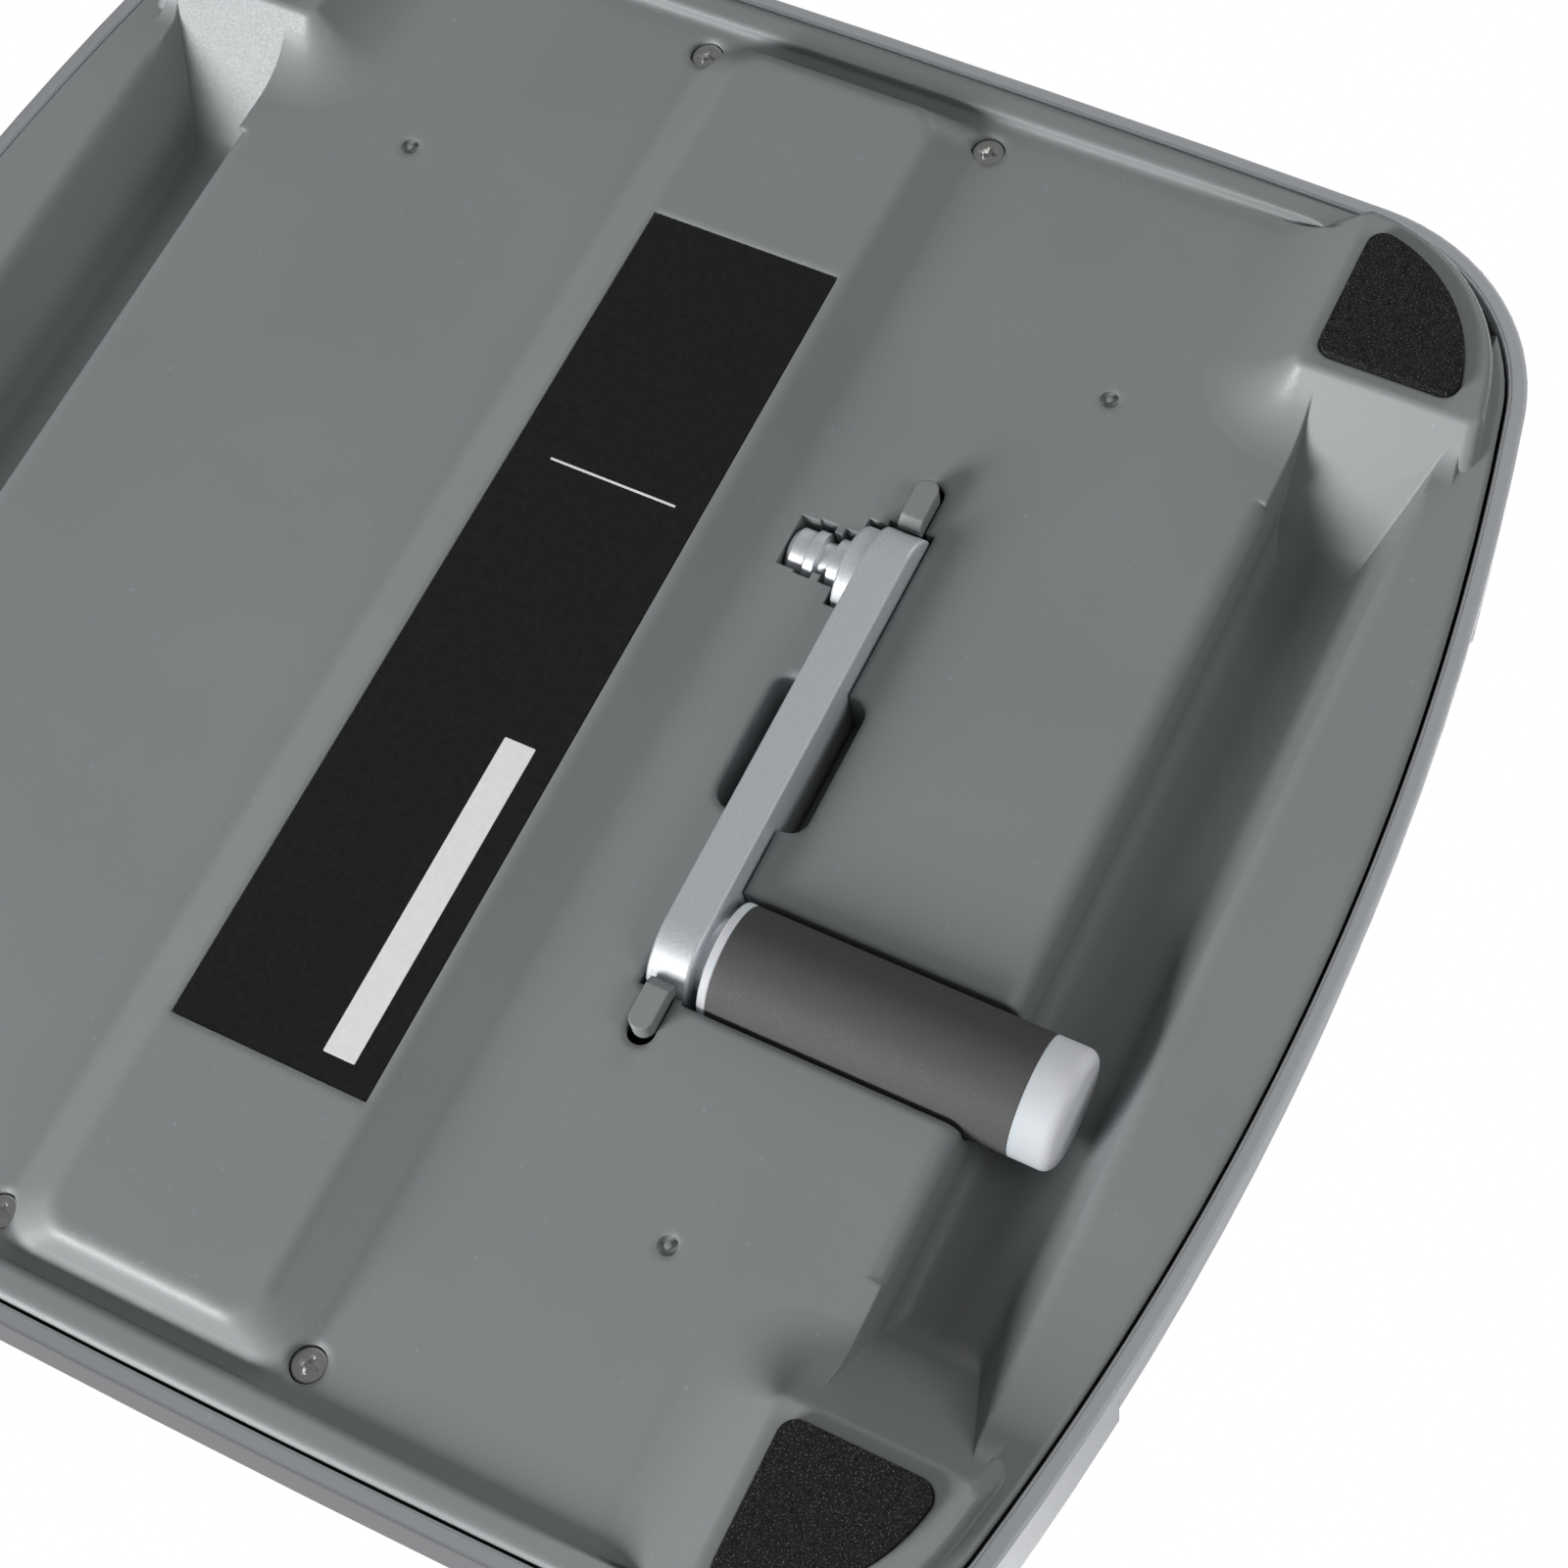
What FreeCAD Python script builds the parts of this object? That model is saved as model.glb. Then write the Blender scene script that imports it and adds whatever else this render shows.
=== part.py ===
"""Hand-cranked die cutting machine, standing on its feet, with the crank stored under the base.

Millimetres. X runs along the rollers, Y along the feed (the operator stands at -Y), Z is up.
The origin is on the table, under the middle of the machine.
"""
import FreeCAD
import Part
import math
import os

V = FreeCAD.Vector

# Body outline
body_width = 374.0
body_depth = 398.0
front_bow = 24.0
side_bow = 3.0
corner_radius = 52.0
wall = 2.6
pan_gap = 2.0

# Heights of the underside above the table
pad_proud = 2.0
pad_depth = 1.2
plateau_z = 5.5
border_z = 11.0
floor_z = 14.0
channel_z = 35.0
skirt_z = 12.0
skirt_lip = 0.7
skirt_lip_height = 4.0
skirt_edge = 0.8
pan_rim_z = 38.0

# Underside layout
floor_side_margin = 12.0
floor_end_margin = 59.5
plateau_end_margin = 21.0
plateau_half_width = 27.0
plateau_run_side = 11.0
plateau_run_end = 4.5
plateau_corner = 9.0
corner_limit = 0.45
shoulder_round = 4.0
plateau_foot_round = 4.0
foot_length = 56.0
foot_depth = 66.7
foot_slope = 0.84
foot_corner = 2.6
foot_edge = 2.2
foot_end = 3.0
foot_margin = 3.2
foot_flare = 22.0
border_flare = 9.0
flare_setback = 3.6
pad_margin = 3.8
pad_rim_margin = 5.8
pad_corner = 4.0
pad_gap = 0.2
channel_low_margin = 37.0
channel_high_margin = 28.0
channel_draft = 1.0
channel_round = 4.0
channel_end_round = 9.0
channel_edge = 4.0
ridge_edge = 2.2
edge_fade = 10.0
edge_fade_end = 0.05
border_edge = 1.3
label_length = 226.0
label_width = 49.0
label_thickness = 0.6
label_pocket = 0.8
label_gap = 0.3
label_corner = 1.0
gate_x = 112.0
gate_y = 95.4
gate_radius = 2.3
gate_depth = 0.8
gate_nub = 0.8

# Crank, stored with its axes along Y
crank_throw = 98.0
arm_radius = 13.0
arm_thickness = 10.0
arm_margin = 130.9
arm_proud = 8.0
arm_edge = 0.7
hub_radius = 11.5
hub_height = 4.6
stub_radius = 6.75
stub_neck_radius = 5.0
stub_pilot_radius = 6.0
stub_shoulder = 3.8
stub_neck = 3.4
stub_ring = 3.0
stub_pilot = 4.6
stub_bevel = 0.6
stub_root = 9.0
stub_slot = 2.8
spindle_radius = 4.0
spindle_head_radius = 7.0
spindle_head = 2.0
spindle_root = 1.0
spindle_gap = 0.3
shoulder_radius = 9.0
shoulder_height = 2.6
grip_radius = 14.0
collar_width = 2.3
sleeve_length = 71.5
cap_length = 9.8
cap_round = 2.8
core_radius = 10.5
collar_round = 0.5
grip_end_gap = 0.3
recess_gap = 0.7
trough_gap = 0.6
trough_reach = 2.0
stub_gap = 0.9
rib_gap = 0.7
scoop_length = 36.0
scoop_reach = 6.4
scoop_depth = 15.0
scoop_corner = 4.5

# Storage latches
latch_width = 5.6
latch_tip = 60.9
latch_end = 73.6
latch_proud = 4.6
latch_head = 5.4
latch_stem = 2.4
latch_pivot_x = 68.2
latch_pivot_z = 44.0
latch_pin_radius = 1.5
latch_side_gap = 0.5
latch_arm_gap = 0.35
latch_nose_length = 2.2
latch_nose_height = 1.6
latch_end_gap = 2.0
latch_boss_radius = 3.2
latch_root_radius = 2.8
latch_cheek = 2.6

# Deck and tunnel
deck_z = 60.0
apron_z = 41.0
deck_flat = 80.0
apron_step = 1.6
apron_half_width = 100.0
apron_low = 20.0
tower_room = 69.0
roller_window = 46.0
tower_window_gap = 4.0
apron_round = 5.0

# Towers and top cover
crown_room = 30.0
tower_base_margin = 8.0
tower_top_margin = 24.0
tower_base_y = 104.0
tower_top_y = 58.0
tower_corner = 30.0
tower_round = 11.0
hood_lip_rise = 27.0
hood_lip_y = 74.0
carry_slot_length = 116.0
carry_slot_height = 20.0
carry_slot_drop = 25.0
carry_slot_round = 8.0
carry_slot_edge = 1.6
shaft_hole_gap = 2.0
tie_hole_gap = 0.5

# Rollers and gears
roller_radius = 19.0
roller_bore = 14.0
shaft_radius = 7.0
lower_roller_z = 42.0
gear_module = 1.5
roller_teeth = 38
pinion_teeth = 14
addendum = 0.8
dedendum = 1.05
backlash = 0.2
pressure_angle = 20.0
gear_width = 12.0
gear_web = 6.0
gear_rim = 3.0
gear_hub = 5.0
sleeve_end_gap = 2.0
sleeve_end_disc = 12.0
shaft_overhang = 5.4
shaft_edge = 0.8
running_gap = 0.05
drive_shaft_radius = 6.0

# Frame
plate_gap = 1.5
plate_thickness = 6.0
plate_half_width = 62.0
plate_top_drop = 12.0
plate_flange = 18.0
plate_edge_round = 12.0
bush_wall = 3.0
bush_flange = 1.6
bush_flange_radius = 13.0
gear_side_gap = 2.0
gear_plate_thickness = 4.0
gear_plate_half_width = 40.0
spacer_radius = 4.5
spacer_inset = 8.0
tie_radius = 5.0
tie_low_y = 32.0
tie_margin = 16.0
tie_low_rise = 6.0
tie_high_rise = 25.0
clip_thickness = 1.2
clip_radius = 10.0
clip_mouth = 7.0
clip_groove = 1.0
clip_gap = 0.1

# Drive socket
socket_radius = 11.0
socket_bore_gap = 0.1
socket_recess = 1.0
socket_end_gap = 0.4
socket_edge = 1.0
socket_pin_radius = 1.2
collar_wall = 5.0
collar_proud = 2.5
collar_gap = 0.6
collar_length = 20.0
collar_edge = 1.2

# Screws
screw_radius = 2.0
screw_head_radius = 4.0
screw_head = 2.6
screw_length = 16.0
screw_boss_radius = 5.5
screw_margin = 21.0
screw_y = 39.0
screw_recess = 1.0
screw_gap = 0.2
screw_head_gap = 0.3

# Worked out from the sizes above
half_width = body_width / 2
half_depth = body_depth / 2
half_tunnel = half_width - tower_room
floor_half_width = half_width - floor_side_margin
floor_half_depth = half_depth - floor_end_margin
plateau_half_length = half_width - plateau_end_margin
foot_x = half_width - foot_length
foot_y = half_depth - foot_depth
channel_outer_low = half_depth - channel_low_margin
channel_outer_high = half_depth - channel_high_margin
screw_x = half_width - screw_margin
tower_base_x = half_width - tower_base_margin
tower_top_x = half_width - tower_top_margin
gear_radius = gear_module * roller_teeth / 2
pinion_radius = gear_module * pinion_teeth / 2
upper_roller_z = lower_roller_z + 2 * gear_radius
drive_z = upper_roller_z + gear_radius + pinion_radius
body_height = drive_z + crown_room
carry_slot_z = body_height - carry_slot_drop
plate_top_z = body_height - plate_top_drop
tie_low_z = lower_roller_z + tie_low_rise
tie_high_z = upper_roller_z + tie_high_rise
tie_high_y = plate_half_width - tie_margin
hood_lip_z = deck_z + hood_lip_rise
arm_y = arm_margin - half_depth
pan_inset = wall + pan_gap
crank_z = floor_z - arm_proud + arm_radius
grip_x = crank_throw / 2
stub_x = -crank_throw / 2
arm_front = arm_y - arm_thickness / 2
arm_back = arm_y + arm_thickness / 2
plate_x = half_tunnel + wall + plate_gap
gear_x = plate_x + plate_thickness + gear_side_gap
gear_plate_x = gear_x + gear_width + gear_side_gap
foot_face_z = pad_proud
tall = 2 * body_height
stub_start = arm_back + hub_height
stub_ring_end = stub_start + stub_shoulder + stub_neck + stub_ring
stub_end = stub_ring_end + stub_pilot
frame_low_z = floor_z + wall
screw_boss_z = floor_z + screw_recess + screw_head + wall


# Small helpers; two places closer than tiny are the same place

tiny = 0.001


def box(x0, x1, y0, y1, z0, z1):
    return Part.makeBox(x1 - x0, y1 - y0, z1 - z0, V(x0, y0, z0))


def rod(radius, start, length, axis):
    return Part.makeCylinder(radius, length, V(*start), axis)


def ring(outer, inner, start, length, axis):
    return rod(outer, start, length, axis).cut(rod(inner, start, length, axis))


def polygon(points):
    return Part.Face(Part.makePolygon([V(*p) for p in points] + [V(*points[0])]))


def outline(edges):
    return Part.Face(Part.Wire(Part.__sortEdges__(edges)))


def line(a, b):
    return Part.LineSegment(V(*a), V(*b)).toShape()


def arc(a, through, b):
    return Part.Arc(V(*a), V(*through), V(*b)).toShape()


def round_edges(solid, radius, keep):
    edges = [e for e in solid.Edges if keep(e)]
    return solid.makeFillet(radius, edges)


def upright(edge):
    ends = edge.Vertexes
    return len(ends) == 2 and abs(ends[0].Z - ends[1].Z) > abs(ends[0].X - ends[1].X) + abs(
        ends[0].Y - ends[1].Y
    )


def lies_at(z):
    return lambda edge: abs(edge.BoundBox.ZMin - z) < tiny and abs(edge.BoundBox.ZMax - z) < tiny


def mirrored(shape, normal):
    return shape.mirror(V(0, 0, 0), normal)


def fused(shapes):
    return shapes[0].multiFuse(shapes[1:]).removeSplitter()


def save(name, shape):
    shape.exportStep("parts/" + name + ".step")


AX = V(1, 0, 0)
AY = V(0, 1, 0)
AZ = V(0, 0, 1)


# Plan of the body: bowed front and rear, nearly straight sides, round corners


def plan_prism(inset, z0, z1):
    hx = half_width - inset
    hy = half_depth - inset
    r = corner_radius - inset
    front = ((hx - side_bow) ** 2 + front_bow**2) / (2 * front_bow)
    side = ((hy - front_bow) ** 2 + side_bow**2) / (2 * side_bow)
    front_middle = V(0, hy - front, z0)
    side_middle = V(hx - side, 0, z0)
    between = side_middle - front_middle
    along = ((front - r) ** 2 - (side - r) ** 2 + between.Length**2) / (2 * between.Length)
    across = math.sqrt((front - r) ** 2 - along**2)
    between.normalize()
    corner = front_middle + between * along + V(between.y, -between.x, 0) * across
    to_front = (corner - front_middle).normalize()
    to_side = (corner - side_middle).normalize()
    a = corner + to_front * r
    m = corner + (to_front + to_side).normalize() * r
    b = corner + to_side * r
    edges = []
    for sign in (1, -1):
        edges.append(arc((-a.x, sign * a.y, z0), (0, sign * hy, z0), (a.x, sign * a.y, z0)))
        edges.append(arc((sign * b.x, -b.y, z0), (sign * hx, 0, z0), (sign * b.x, b.y, z0)))
        for turn in (1, -1):
            x = turn * sign
            y = sign
            edges.append(arc((x * a.x, y * a.y, z0), (x * m.x, y * m.y, z0), (x * b.x, y * b.y, z0)))
    return outline(edges).extrude(V(0, 0, z1 - z0))


def rounded_rectangle(hx, hy, radius, z):
    r = min(radius, corner_limit * hx, corner_limit * hy)
    k = r * (1 - math.sqrt(0.5))
    edges = []
    corners = [(1, 1), (-1, 1), (-1, -1), (1, -1)]
    for n, (sx, sy) in enumerate(corners):
        first = (sx * hx, sy * (hy - r), z)
        last = (sx * (hx - r), sy * hy, z)
        if sx * sy < 0:
            first, last = last, first
        edges.append(arc(first, (sx * (hx - k), sy * (hy - k), z), last))
        tx, ty = corners[(n + 1) % 4]
        target = (tx * (hx - r), ty * hy, z) if tx * ty < 0 else (tx * hx, ty * (hy - r), z)
        edges.append(line(last, target))
    return Part.Wire(edges)


def frustum(low, high):
    return Part.makeLoft([low, high], True, True)


# Base pan: one relief, built outside and again one wall further in


def plateau(inset):
    top = floor_z + inset + 2 * wall
    rise = top - plateau_z
    share = rise / (floor_z - plateau_z)
    low = rounded_rectangle(
        plateau_half_length - inset, plateau_half_width - inset, plateau_corner, plateau_z + inset
    )
    high = rounded_rectangle(
        plateau_half_length - inset + plateau_run_end * share,
        plateau_half_width - inset + plateau_run_side * share,
        plateau_corner,
        top + inset,
    )
    return frustum(low, high)


def foot_wedge(inset, high):
    low = foot_face_z + inset
    run = foot_slope * (high - low)
    x = foot_x + inset
    y = foot_y + inset
    cx = x + foot_corner
    cy = y + foot_corner
    side = polygon([(x, cy, low), (half_width, cy, low), (half_width, cy, high), (x - run, cy, high)])
    end = polygon([(cx, y, low), (cx, half_depth, low), (cx, half_depth, high), (cx, y - run, high)])
    corner = Part.makeCone(foot_corner, foot_corner + run, high - low, V(cx, cy, low), AZ)
    walls = [side.extrude(V(0, half_depth - cy, 0)), end.extrude(V(half_width - cx, 0, 0))]
    return fused(walls + [corner])


def foot_block(inset, high):
    low = foot_face_z + inset
    block = foot_wedge(inset, high).common(plan_prism(pan_inset + foot_margin + inset, low, high))
    if inset > 0:
        return block
    return round_edges(round_edges(block, foot_end, at_outer_end), foot_edge, lies_at(low))


def at_outer_end(edge):
    bounds = edge.BoundBox
    beside_side = bounds.XMin > foot_x + corner_radius / 2 and bounds.YMax < foot_y
    beside_front = bounds.YMin > foot_y + corner_radius / 2 and bounds.XMax < foot_x + tiny
    return bounds.ZLength > floor_z and (beside_side or beside_front)


def foot_wall_x(z):
    return foot_x - foot_slope * (z - foot_face_z)


def flare_length(radius):
    return radius * math.tan((math.pi / 2 - math.atan(foot_slope)) / 2)


def flared_foot(level, radius):
    reach = 2 * flare_length(radius)
    x = foot_wall_x(level) - reach
    y = x + foot_y - foot_x
    ground = box(x, half_width, y, half_depth, level, pan_rim_z)
    join = foot_wedge(0, pan_rim_z).fuse(ground)

    def at_bend(edge):
        bounds = edge.BoundBox
        off_near = bounds.XMin > x + wall and bounds.YMin > y + wall
        off_far = bounds.XMin < half_width - wall and bounds.YMin < half_depth - wall
        return lies_at(level)(edge) and off_near and off_far

    flared = round_edges(join, radius, at_bend)
    start = level - flare_length(radius) * math.cos(math.atan(foot_slope)) - running_gap
    return flared.common(box(x, half_width, y, half_depth, start, pan_rim_z))


def four_corners(shape):
    side = mirrored(shape, AX)
    return [shape, side, mirrored(shape, AY), mirrored(side, AY)]


def channel_inner_y(z, grow):
    draft = channel_draft / (channel_z - floor_z)
    return floor_half_depth - grow + draft * (z - floor_z - grow)


def channel_outer_y(z, grow):
    lean = (channel_outer_high - channel_outer_low) / (channel_z - border_z)
    return channel_outer_high + grow - lean * (z - border_z - grow)


def channel(grow):
    top = channel_z + grow
    x = -tall
    across = polygon(
        [
            (x, -channel_inner_y(0, grow), 0),
            (x, -channel_inner_y(top, grow), top),
            (x, -channel_outer_y(top, grow), top),
            (x, -channel_outer_y(0, grow), 0),
        ]
    )
    return round_edges(across.extrude(V(2 * tall, 0, 0)), channel_round + grow, lies_at(top))


def edge_section(x, corner, wall_end, side, size):
    away = V(0, wall_end[0] - corner[0], wall_end[1] - corner[1]).normalize()
    flat = V(0, side, 0)
    half = away.getAngle(flat) / 2
    middle = (away + flat).normalize()
    c = V(x, *corner)
    a = c + flat * size
    b = c + away * size
    deep = c + middle * (size / math.cos(half) - size * math.tan(half))
    return Part.Wire([Part.makeLine(c, a), Part.Arc(a, deep, b).toShape(), Part.makeLine(b, c)])


def soft_edge(corner, wall_end, side, size, end):
    start = end - edge_fade
    full = edge_section(-start, corner, wall_end, side, size)
    strip = Part.Face(full).extrude(V(2 * start, 0, 0))
    fades = []
    for sign in (-1, 1):
        near = edge_section(sign * start, corner, wall_end, side, size)
        far = edge_section(sign * end, corner, wall_end, side, size * edge_fade_end)
        fades.append(frustum(near, far))
    return [strip] + fades


def channel_edges():
    inner = (-channel_inner_y(floor_z, 0), floor_z)
    outer = (-channel_outer_y(border_z, 0), border_z)
    inner_end = (-channel_inner_y(channel_z, 0), channel_z)
    outer_end = (-channel_outer_y(channel_z, 0), channel_z)
    inner_stop = foot_wall_x(floor_z) - flare_length(foot_flare)
    outer_stop = foot_wall_x(border_z) - flare_length(border_flare)
    front = soft_edge(inner, inner_end, 1, channel_edge, inner_stop)
    front += soft_edge(outer, outer_end, -1, ridge_edge, outer_stop)
    return front + [mirrored(strip, AY) for strip in front]


def slot_over(radius, x, y0, y1):
    tube = rod(radius, (x, y0, crank_z), y1 - y0, AY)
    return tube.fuse(box(x - radius, x + radius, y0, y1, 0, crank_z))


def crank_recess(grow):
    gap = recess_gap + grow
    r = arm_radius + gap
    stadium = fused(
        [
            slot_over(r, stub_x, arm_front - gap, arm_back + gap),
            slot_over(r, grip_x, arm_front - gap, arm_back + gap),
            box(stub_x, grip_x, arm_front - gap, arm_back + gap, 0, crank_z + r),
        ]
    )
    hub = slot_over(hub_radius + gap, stub_x, arm_back, arm_back + hub_height + gap)
    stub = slot_over(stub_radius + stub_gap + grow, stub_x, arm_back, stub_ring_end + gap)
    pilot = slot_over(stub_pilot_radius + stub_gap + grow, stub_x, arm_back, stub_end + gap)
    trough = slot_over(
        grip_radius + trough_gap + grow, grip_x, -floor_half_depth - trough_reach, arm_front
    )
    scoop = round_edges(
        box(
            -scoop_length / 2 - grow,
            scoop_length / 2 + grow,
            arm_front - scoop_reach - grow,
            arm_back + scoop_reach + grow,
            0,
            floor_z + scoop_depth + grow,
        ),
        scoop_corner,
        upright,
    )
    return [stadium, hub, stub, pilot, trough, scoop]


def at_plateau_foot(edge):
    reach_x = plateau_half_length + plateau_run_end + wall / 2
    reach_y = plateau_half_width + plateau_run_side + wall / 2
    bounds = edge.BoundBox
    inside = max(-bounds.XMin, bounds.XMax) < reach_x and max(-bounds.YMin, bounds.YMax) < reach_y
    return inside and lies_at(floor_z)(edge)


def floor_hollow(inset):
    return round_edges(
        box(
            -floor_half_width - inset,
            floor_half_width + inset,
            -floor_half_depth - wall - inset,
            floor_half_depth + wall + inset,
            0,
            floor_z + inset,
        ),
        corner_radius / 2,
        upright,
    )


def soft_foot(hollow):
    plan = plan_prism(pan_inset + foot_margin + flare_setback, 0, pan_rim_z)
    inner_y = channel_inner_y(floor_z, wall)
    outer_y = channel_outer_y(border_z, wall)
    in_floor = box(0, floor_half_width, 0, floor_half_depth + wall, 0, pan_rim_z)
    in_channel = box(0, half_width, inner_y, outer_y, 0, pan_rim_z)
    floor_flare = flared_foot(floor_z, foot_flare).common(plan).common(in_floor)
    border_flare_form = flared_foot(border_z, border_flare).common(plan).cut(floor_hollow(0))
    channel_flare = flared_foot(channel_z, channel_end_round).common(plan).common(in_channel)
    flares = [floor_flare.cut(hollow), border_flare_form.cut(hollow), channel_flare]
    return fused([foot_block(0, pan_rim_z)] + flares)


def pan_form(inset, ceiling):
    form = plan_prism(pan_inset + inset, border_z + inset, ceiling)
    if inset == 0:
        form = round_edges(form, border_edge, lies_at(border_z))
    form = form.cut(floor_hollow(inset))
    raised = plateau(inset)
    if inset == 0:
        raised = round_edges(raised, shoulder_round, lies_at(plateau_z))
    form = form.fuse(raised)
    rear = mirrored(channel(inset), AY)
    hollows = [rear, mirrored(rear, AY)]
    foot = foot_block(inset, ceiling)
    if inset == 0:
        form = round_edges(form, plateau_foot_round, at_plateau_foot)
        hollows += channel_edges()
        foot = soft_foot(rear)
    form = form.cut(hollows).multiFuse(four_corners(foot))
    return form.cut(crank_recess(inset))


def latch_slot(side):
    x0 = latch_tip - latch_side_gap
    x1 = latch_end + latch_end_gap
    half = latch_width / 2 + latch_side_gap
    bar = box(x0, x1 - half, arm_y - half, arm_y + half, 0, latch_pivot_z)
    end = rod(half, (x1 - half, arm_y, 0), latch_pivot_z, AZ)
    slot = bar.fuse(end)
    return slot if side > 0 else mirrored(slot, AX)


def latch_cheeks(side):
    inner = latch_width / 2 + latch_side_gap
    posts = []
    for y in (arm_y - inner - latch_cheek, arm_y + inner):
        post = box(
            latch_pivot_x - latch_boss_radius,
            latch_pivot_x + latch_boss_radius,
            y,
            y + latch_cheek,
            floor_z + wall / 2,
            latch_pivot_z,
        )
        cap = rod(latch_boss_radius, (latch_pivot_x, y, latch_pivot_z), latch_cheek, AY)
        hole = rod(latch_pin_radius, (latch_pivot_x, y, latch_pivot_z), latch_cheek, AY)
        posts.append(post.fuse(cap).cut(hole))
    return posts if side > 0 else [mirrored(p, AX) for p in posts]


def screw_places():
    return [(sx * screw_x, sy * screw_y) for sx in (-1, 1) for sy in (-1, 1)]


def base_pan():
    pan = pan_form(0, pan_rim_z).cut(pan_form(wall, pan_rim_z + wall))
    neck_y = stub_start + stub_shoulder
    rib_reach = stub_radius + stub_gap + wall / 2
    rib = box(
        stub_x - rib_reach,
        stub_x + rib_reach,
        neck_y + rib_gap,
        neck_y + stub_neck - rib_gap,
        floor_z,
        crank_z + rib_reach,
    )
    notch = slot_over(stub_neck_radius + rib_gap, stub_x, neck_y, neck_y + stub_neck)
    adds = [rib.cut(notch)] + latch_cheeks(-1) + latch_cheeks(1)
    boss_z = floor_z + wall / 2
    half_length = label_length / 2 + label_gap
    half_breadth = label_width / 2 + label_gap
    label_z = plateau_z + label_pocket
    cuts = [box(-half_length, half_length, -half_breadth, half_breadth, 0, label_z)]
    for x, y in screw_places():
        adds.append(rod(screw_boss_radius, (x, y, boss_z), screw_boss_z - boss_z, AZ))
        cuts.append(rod(screw_radius + screw_gap, (x, y, 0), tall, AZ))
        cuts.append(rod(screw_head_radius + screw_head_gap, (x, y, 0), screw_boss_z - wall, AZ))
    gate = ring(gate_radius, gate_nub, (gate_x, gate_y, 0), floor_z + gate_depth, AZ)
    cuts += four_corners(gate)
    cuts += four_corners(pad_form(-pad_gap, foot_face_z + pad_depth))
    pan = pan.cut([latch_slot(-1), latch_slot(1)])
    return pan.multiFuse(adds).cut(cuts).removeSplitter()


def pad_form(inset, top):
    x = foot_x + pad_margin + inset
    y = foot_y + pad_margin + inset
    block = box(x, half_width, y, half_depth, 0, top)
    plan = plan_prism(pan_inset + foot_margin + pad_rim_margin + inset, 0, top)
    return round_edges(block.common(plan), pad_corner, upright)


def label_plate():
    z = plateau_z + label_pocket - label_thickness
    half_length = label_length / 2
    half_breadth = label_width / 2
    plate = box(-half_length, half_length, -half_breadth, half_breadth, z, z + label_thickness)
    return round_edges(plate, label_corner, upright)


# Lower shell: skirt, apron and deck


def deck_profile(drop):
    top = deck_z - drop
    edge = apron_z - drop
    run = half_depth - deck_flat
    fall = top - edge
    bend = (run**2 + fall**2) / (2 * fall)
    turn = math.asin(run / bend) / 2
    mid_y = deck_flat + bend * math.sin(turn)
    mid_z = top - bend * (1 - math.cos(turn))
    x = -tall
    return outline(
        [
            line((x, -half_depth, 0), (x, half_depth, 0)),
            line((x, half_depth, 0), (x, half_depth, edge)),
            arc((x, half_depth, edge), (x, mid_y, mid_z), (x, deck_flat, top)),
            line((x, deck_flat, top), (x, -deck_flat, top)),
            arc((x, -deck_flat, top), (x, -mid_y, mid_z), (x, -half_depth, edge)),
            line((x, -half_depth, edge), (x, -half_depth, 0)),
        ]
    ).extrude(V(2 * tall, 0, 0))


def lower_form(inset, low):
    return plan_prism(inset, low, deck_z).common(deck_profile(inset))


def soft_lower_form(inset, low):
    form = lower_form(inset, low)
    return round_edges(form, apron_round - inset, lambda e: e.BoundBox.ZMin > apron_z - inset - wall)


def skirt_bead():
    top = skirt_z + skirt_lip_height
    return plan_prism(wall, skirt_z, top).cut(plan_prism(wall + skirt_lip, skirt_z, top))


def lower_shell():
    outer = round_edges(soft_lower_form(0, skirt_z), skirt_edge, lies_at(skirt_z))
    step = plan_prism(0, apron_low, deck_z).cut(plan_prism(apron_step, apron_low, deck_z))
    step = step.common(box(-apron_half_width, apron_half_width, -half_depth, half_depth, apron_low, deck_z))
    shell = outer.cut([soft_lower_form(wall, skirt_z - wall), step])
    half_window = roller_window / 2
    cuts = [box(-half_tunnel, half_tunnel, -half_window, half_window, deck_z - 2 * wall, deck_z)]
    for side in (-1, 1):
        x0, x1 = sorted((side * (half_tunnel + wall), side * (tower_base_x - 3 * wall)))
        y = plate_half_width + tower_window_gap
        cuts.append(box(x0, x1, -y, y, deck_z - 2 * wall, deck_z))
    shell = shell.cut(cuts)
    bosses = []
    for x, y in screw_places():
        length = deck_z - wall - screw_boss_z
        bosses.append(ring(screw_boss_radius, screw_radius, (x, y, screw_boss_z), length, AZ))
    return shell.multiFuse([skirt_bead()] + bosses).removeSplitter()


# Towers


def tower_section(x1, hy, radius, inset, z):
    x0 = half_tunnel + inset
    x1 = x1 - inset
    hy = hy - inset
    r = radius - inset
    k = r * (1 - math.sqrt(0.5))
    return Part.Wire(
        [
            line((x0, -hy, z), (x1 - r, -hy, z)),
            arc((x1 - r, -hy, z), (x1 - k, -hy + k, z), (x1, -hy + r, z)),
            line((x1, -hy + r, z), (x1, hy - r, z)),
            arc((x1, hy - r, z), (x1 - k, hy - k, z), (x1 - r, hy, z)),
            line((x1 - r, hy, z), (x0, hy, z)),
            line((x0, hy, z), (x0, -hy, z)),
        ]
    )


def tower_form(inset):
    low = tower_section(tower_base_x, tower_base_y, tower_corner, inset, apron_z)
    high = tower_section(tower_top_x, tower_top_y, tower_corner, inset, body_height - inset)
    form = Part.makeLoft([low, high], True, True)
    crown = body_height - inset
    radius = tower_round - inset
    x0 = half_tunnel + inset
    return round_edges(form, radius, lambda e: lies_at(crown)(e) and e.BoundBox.XMax > x0 + wall)


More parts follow.
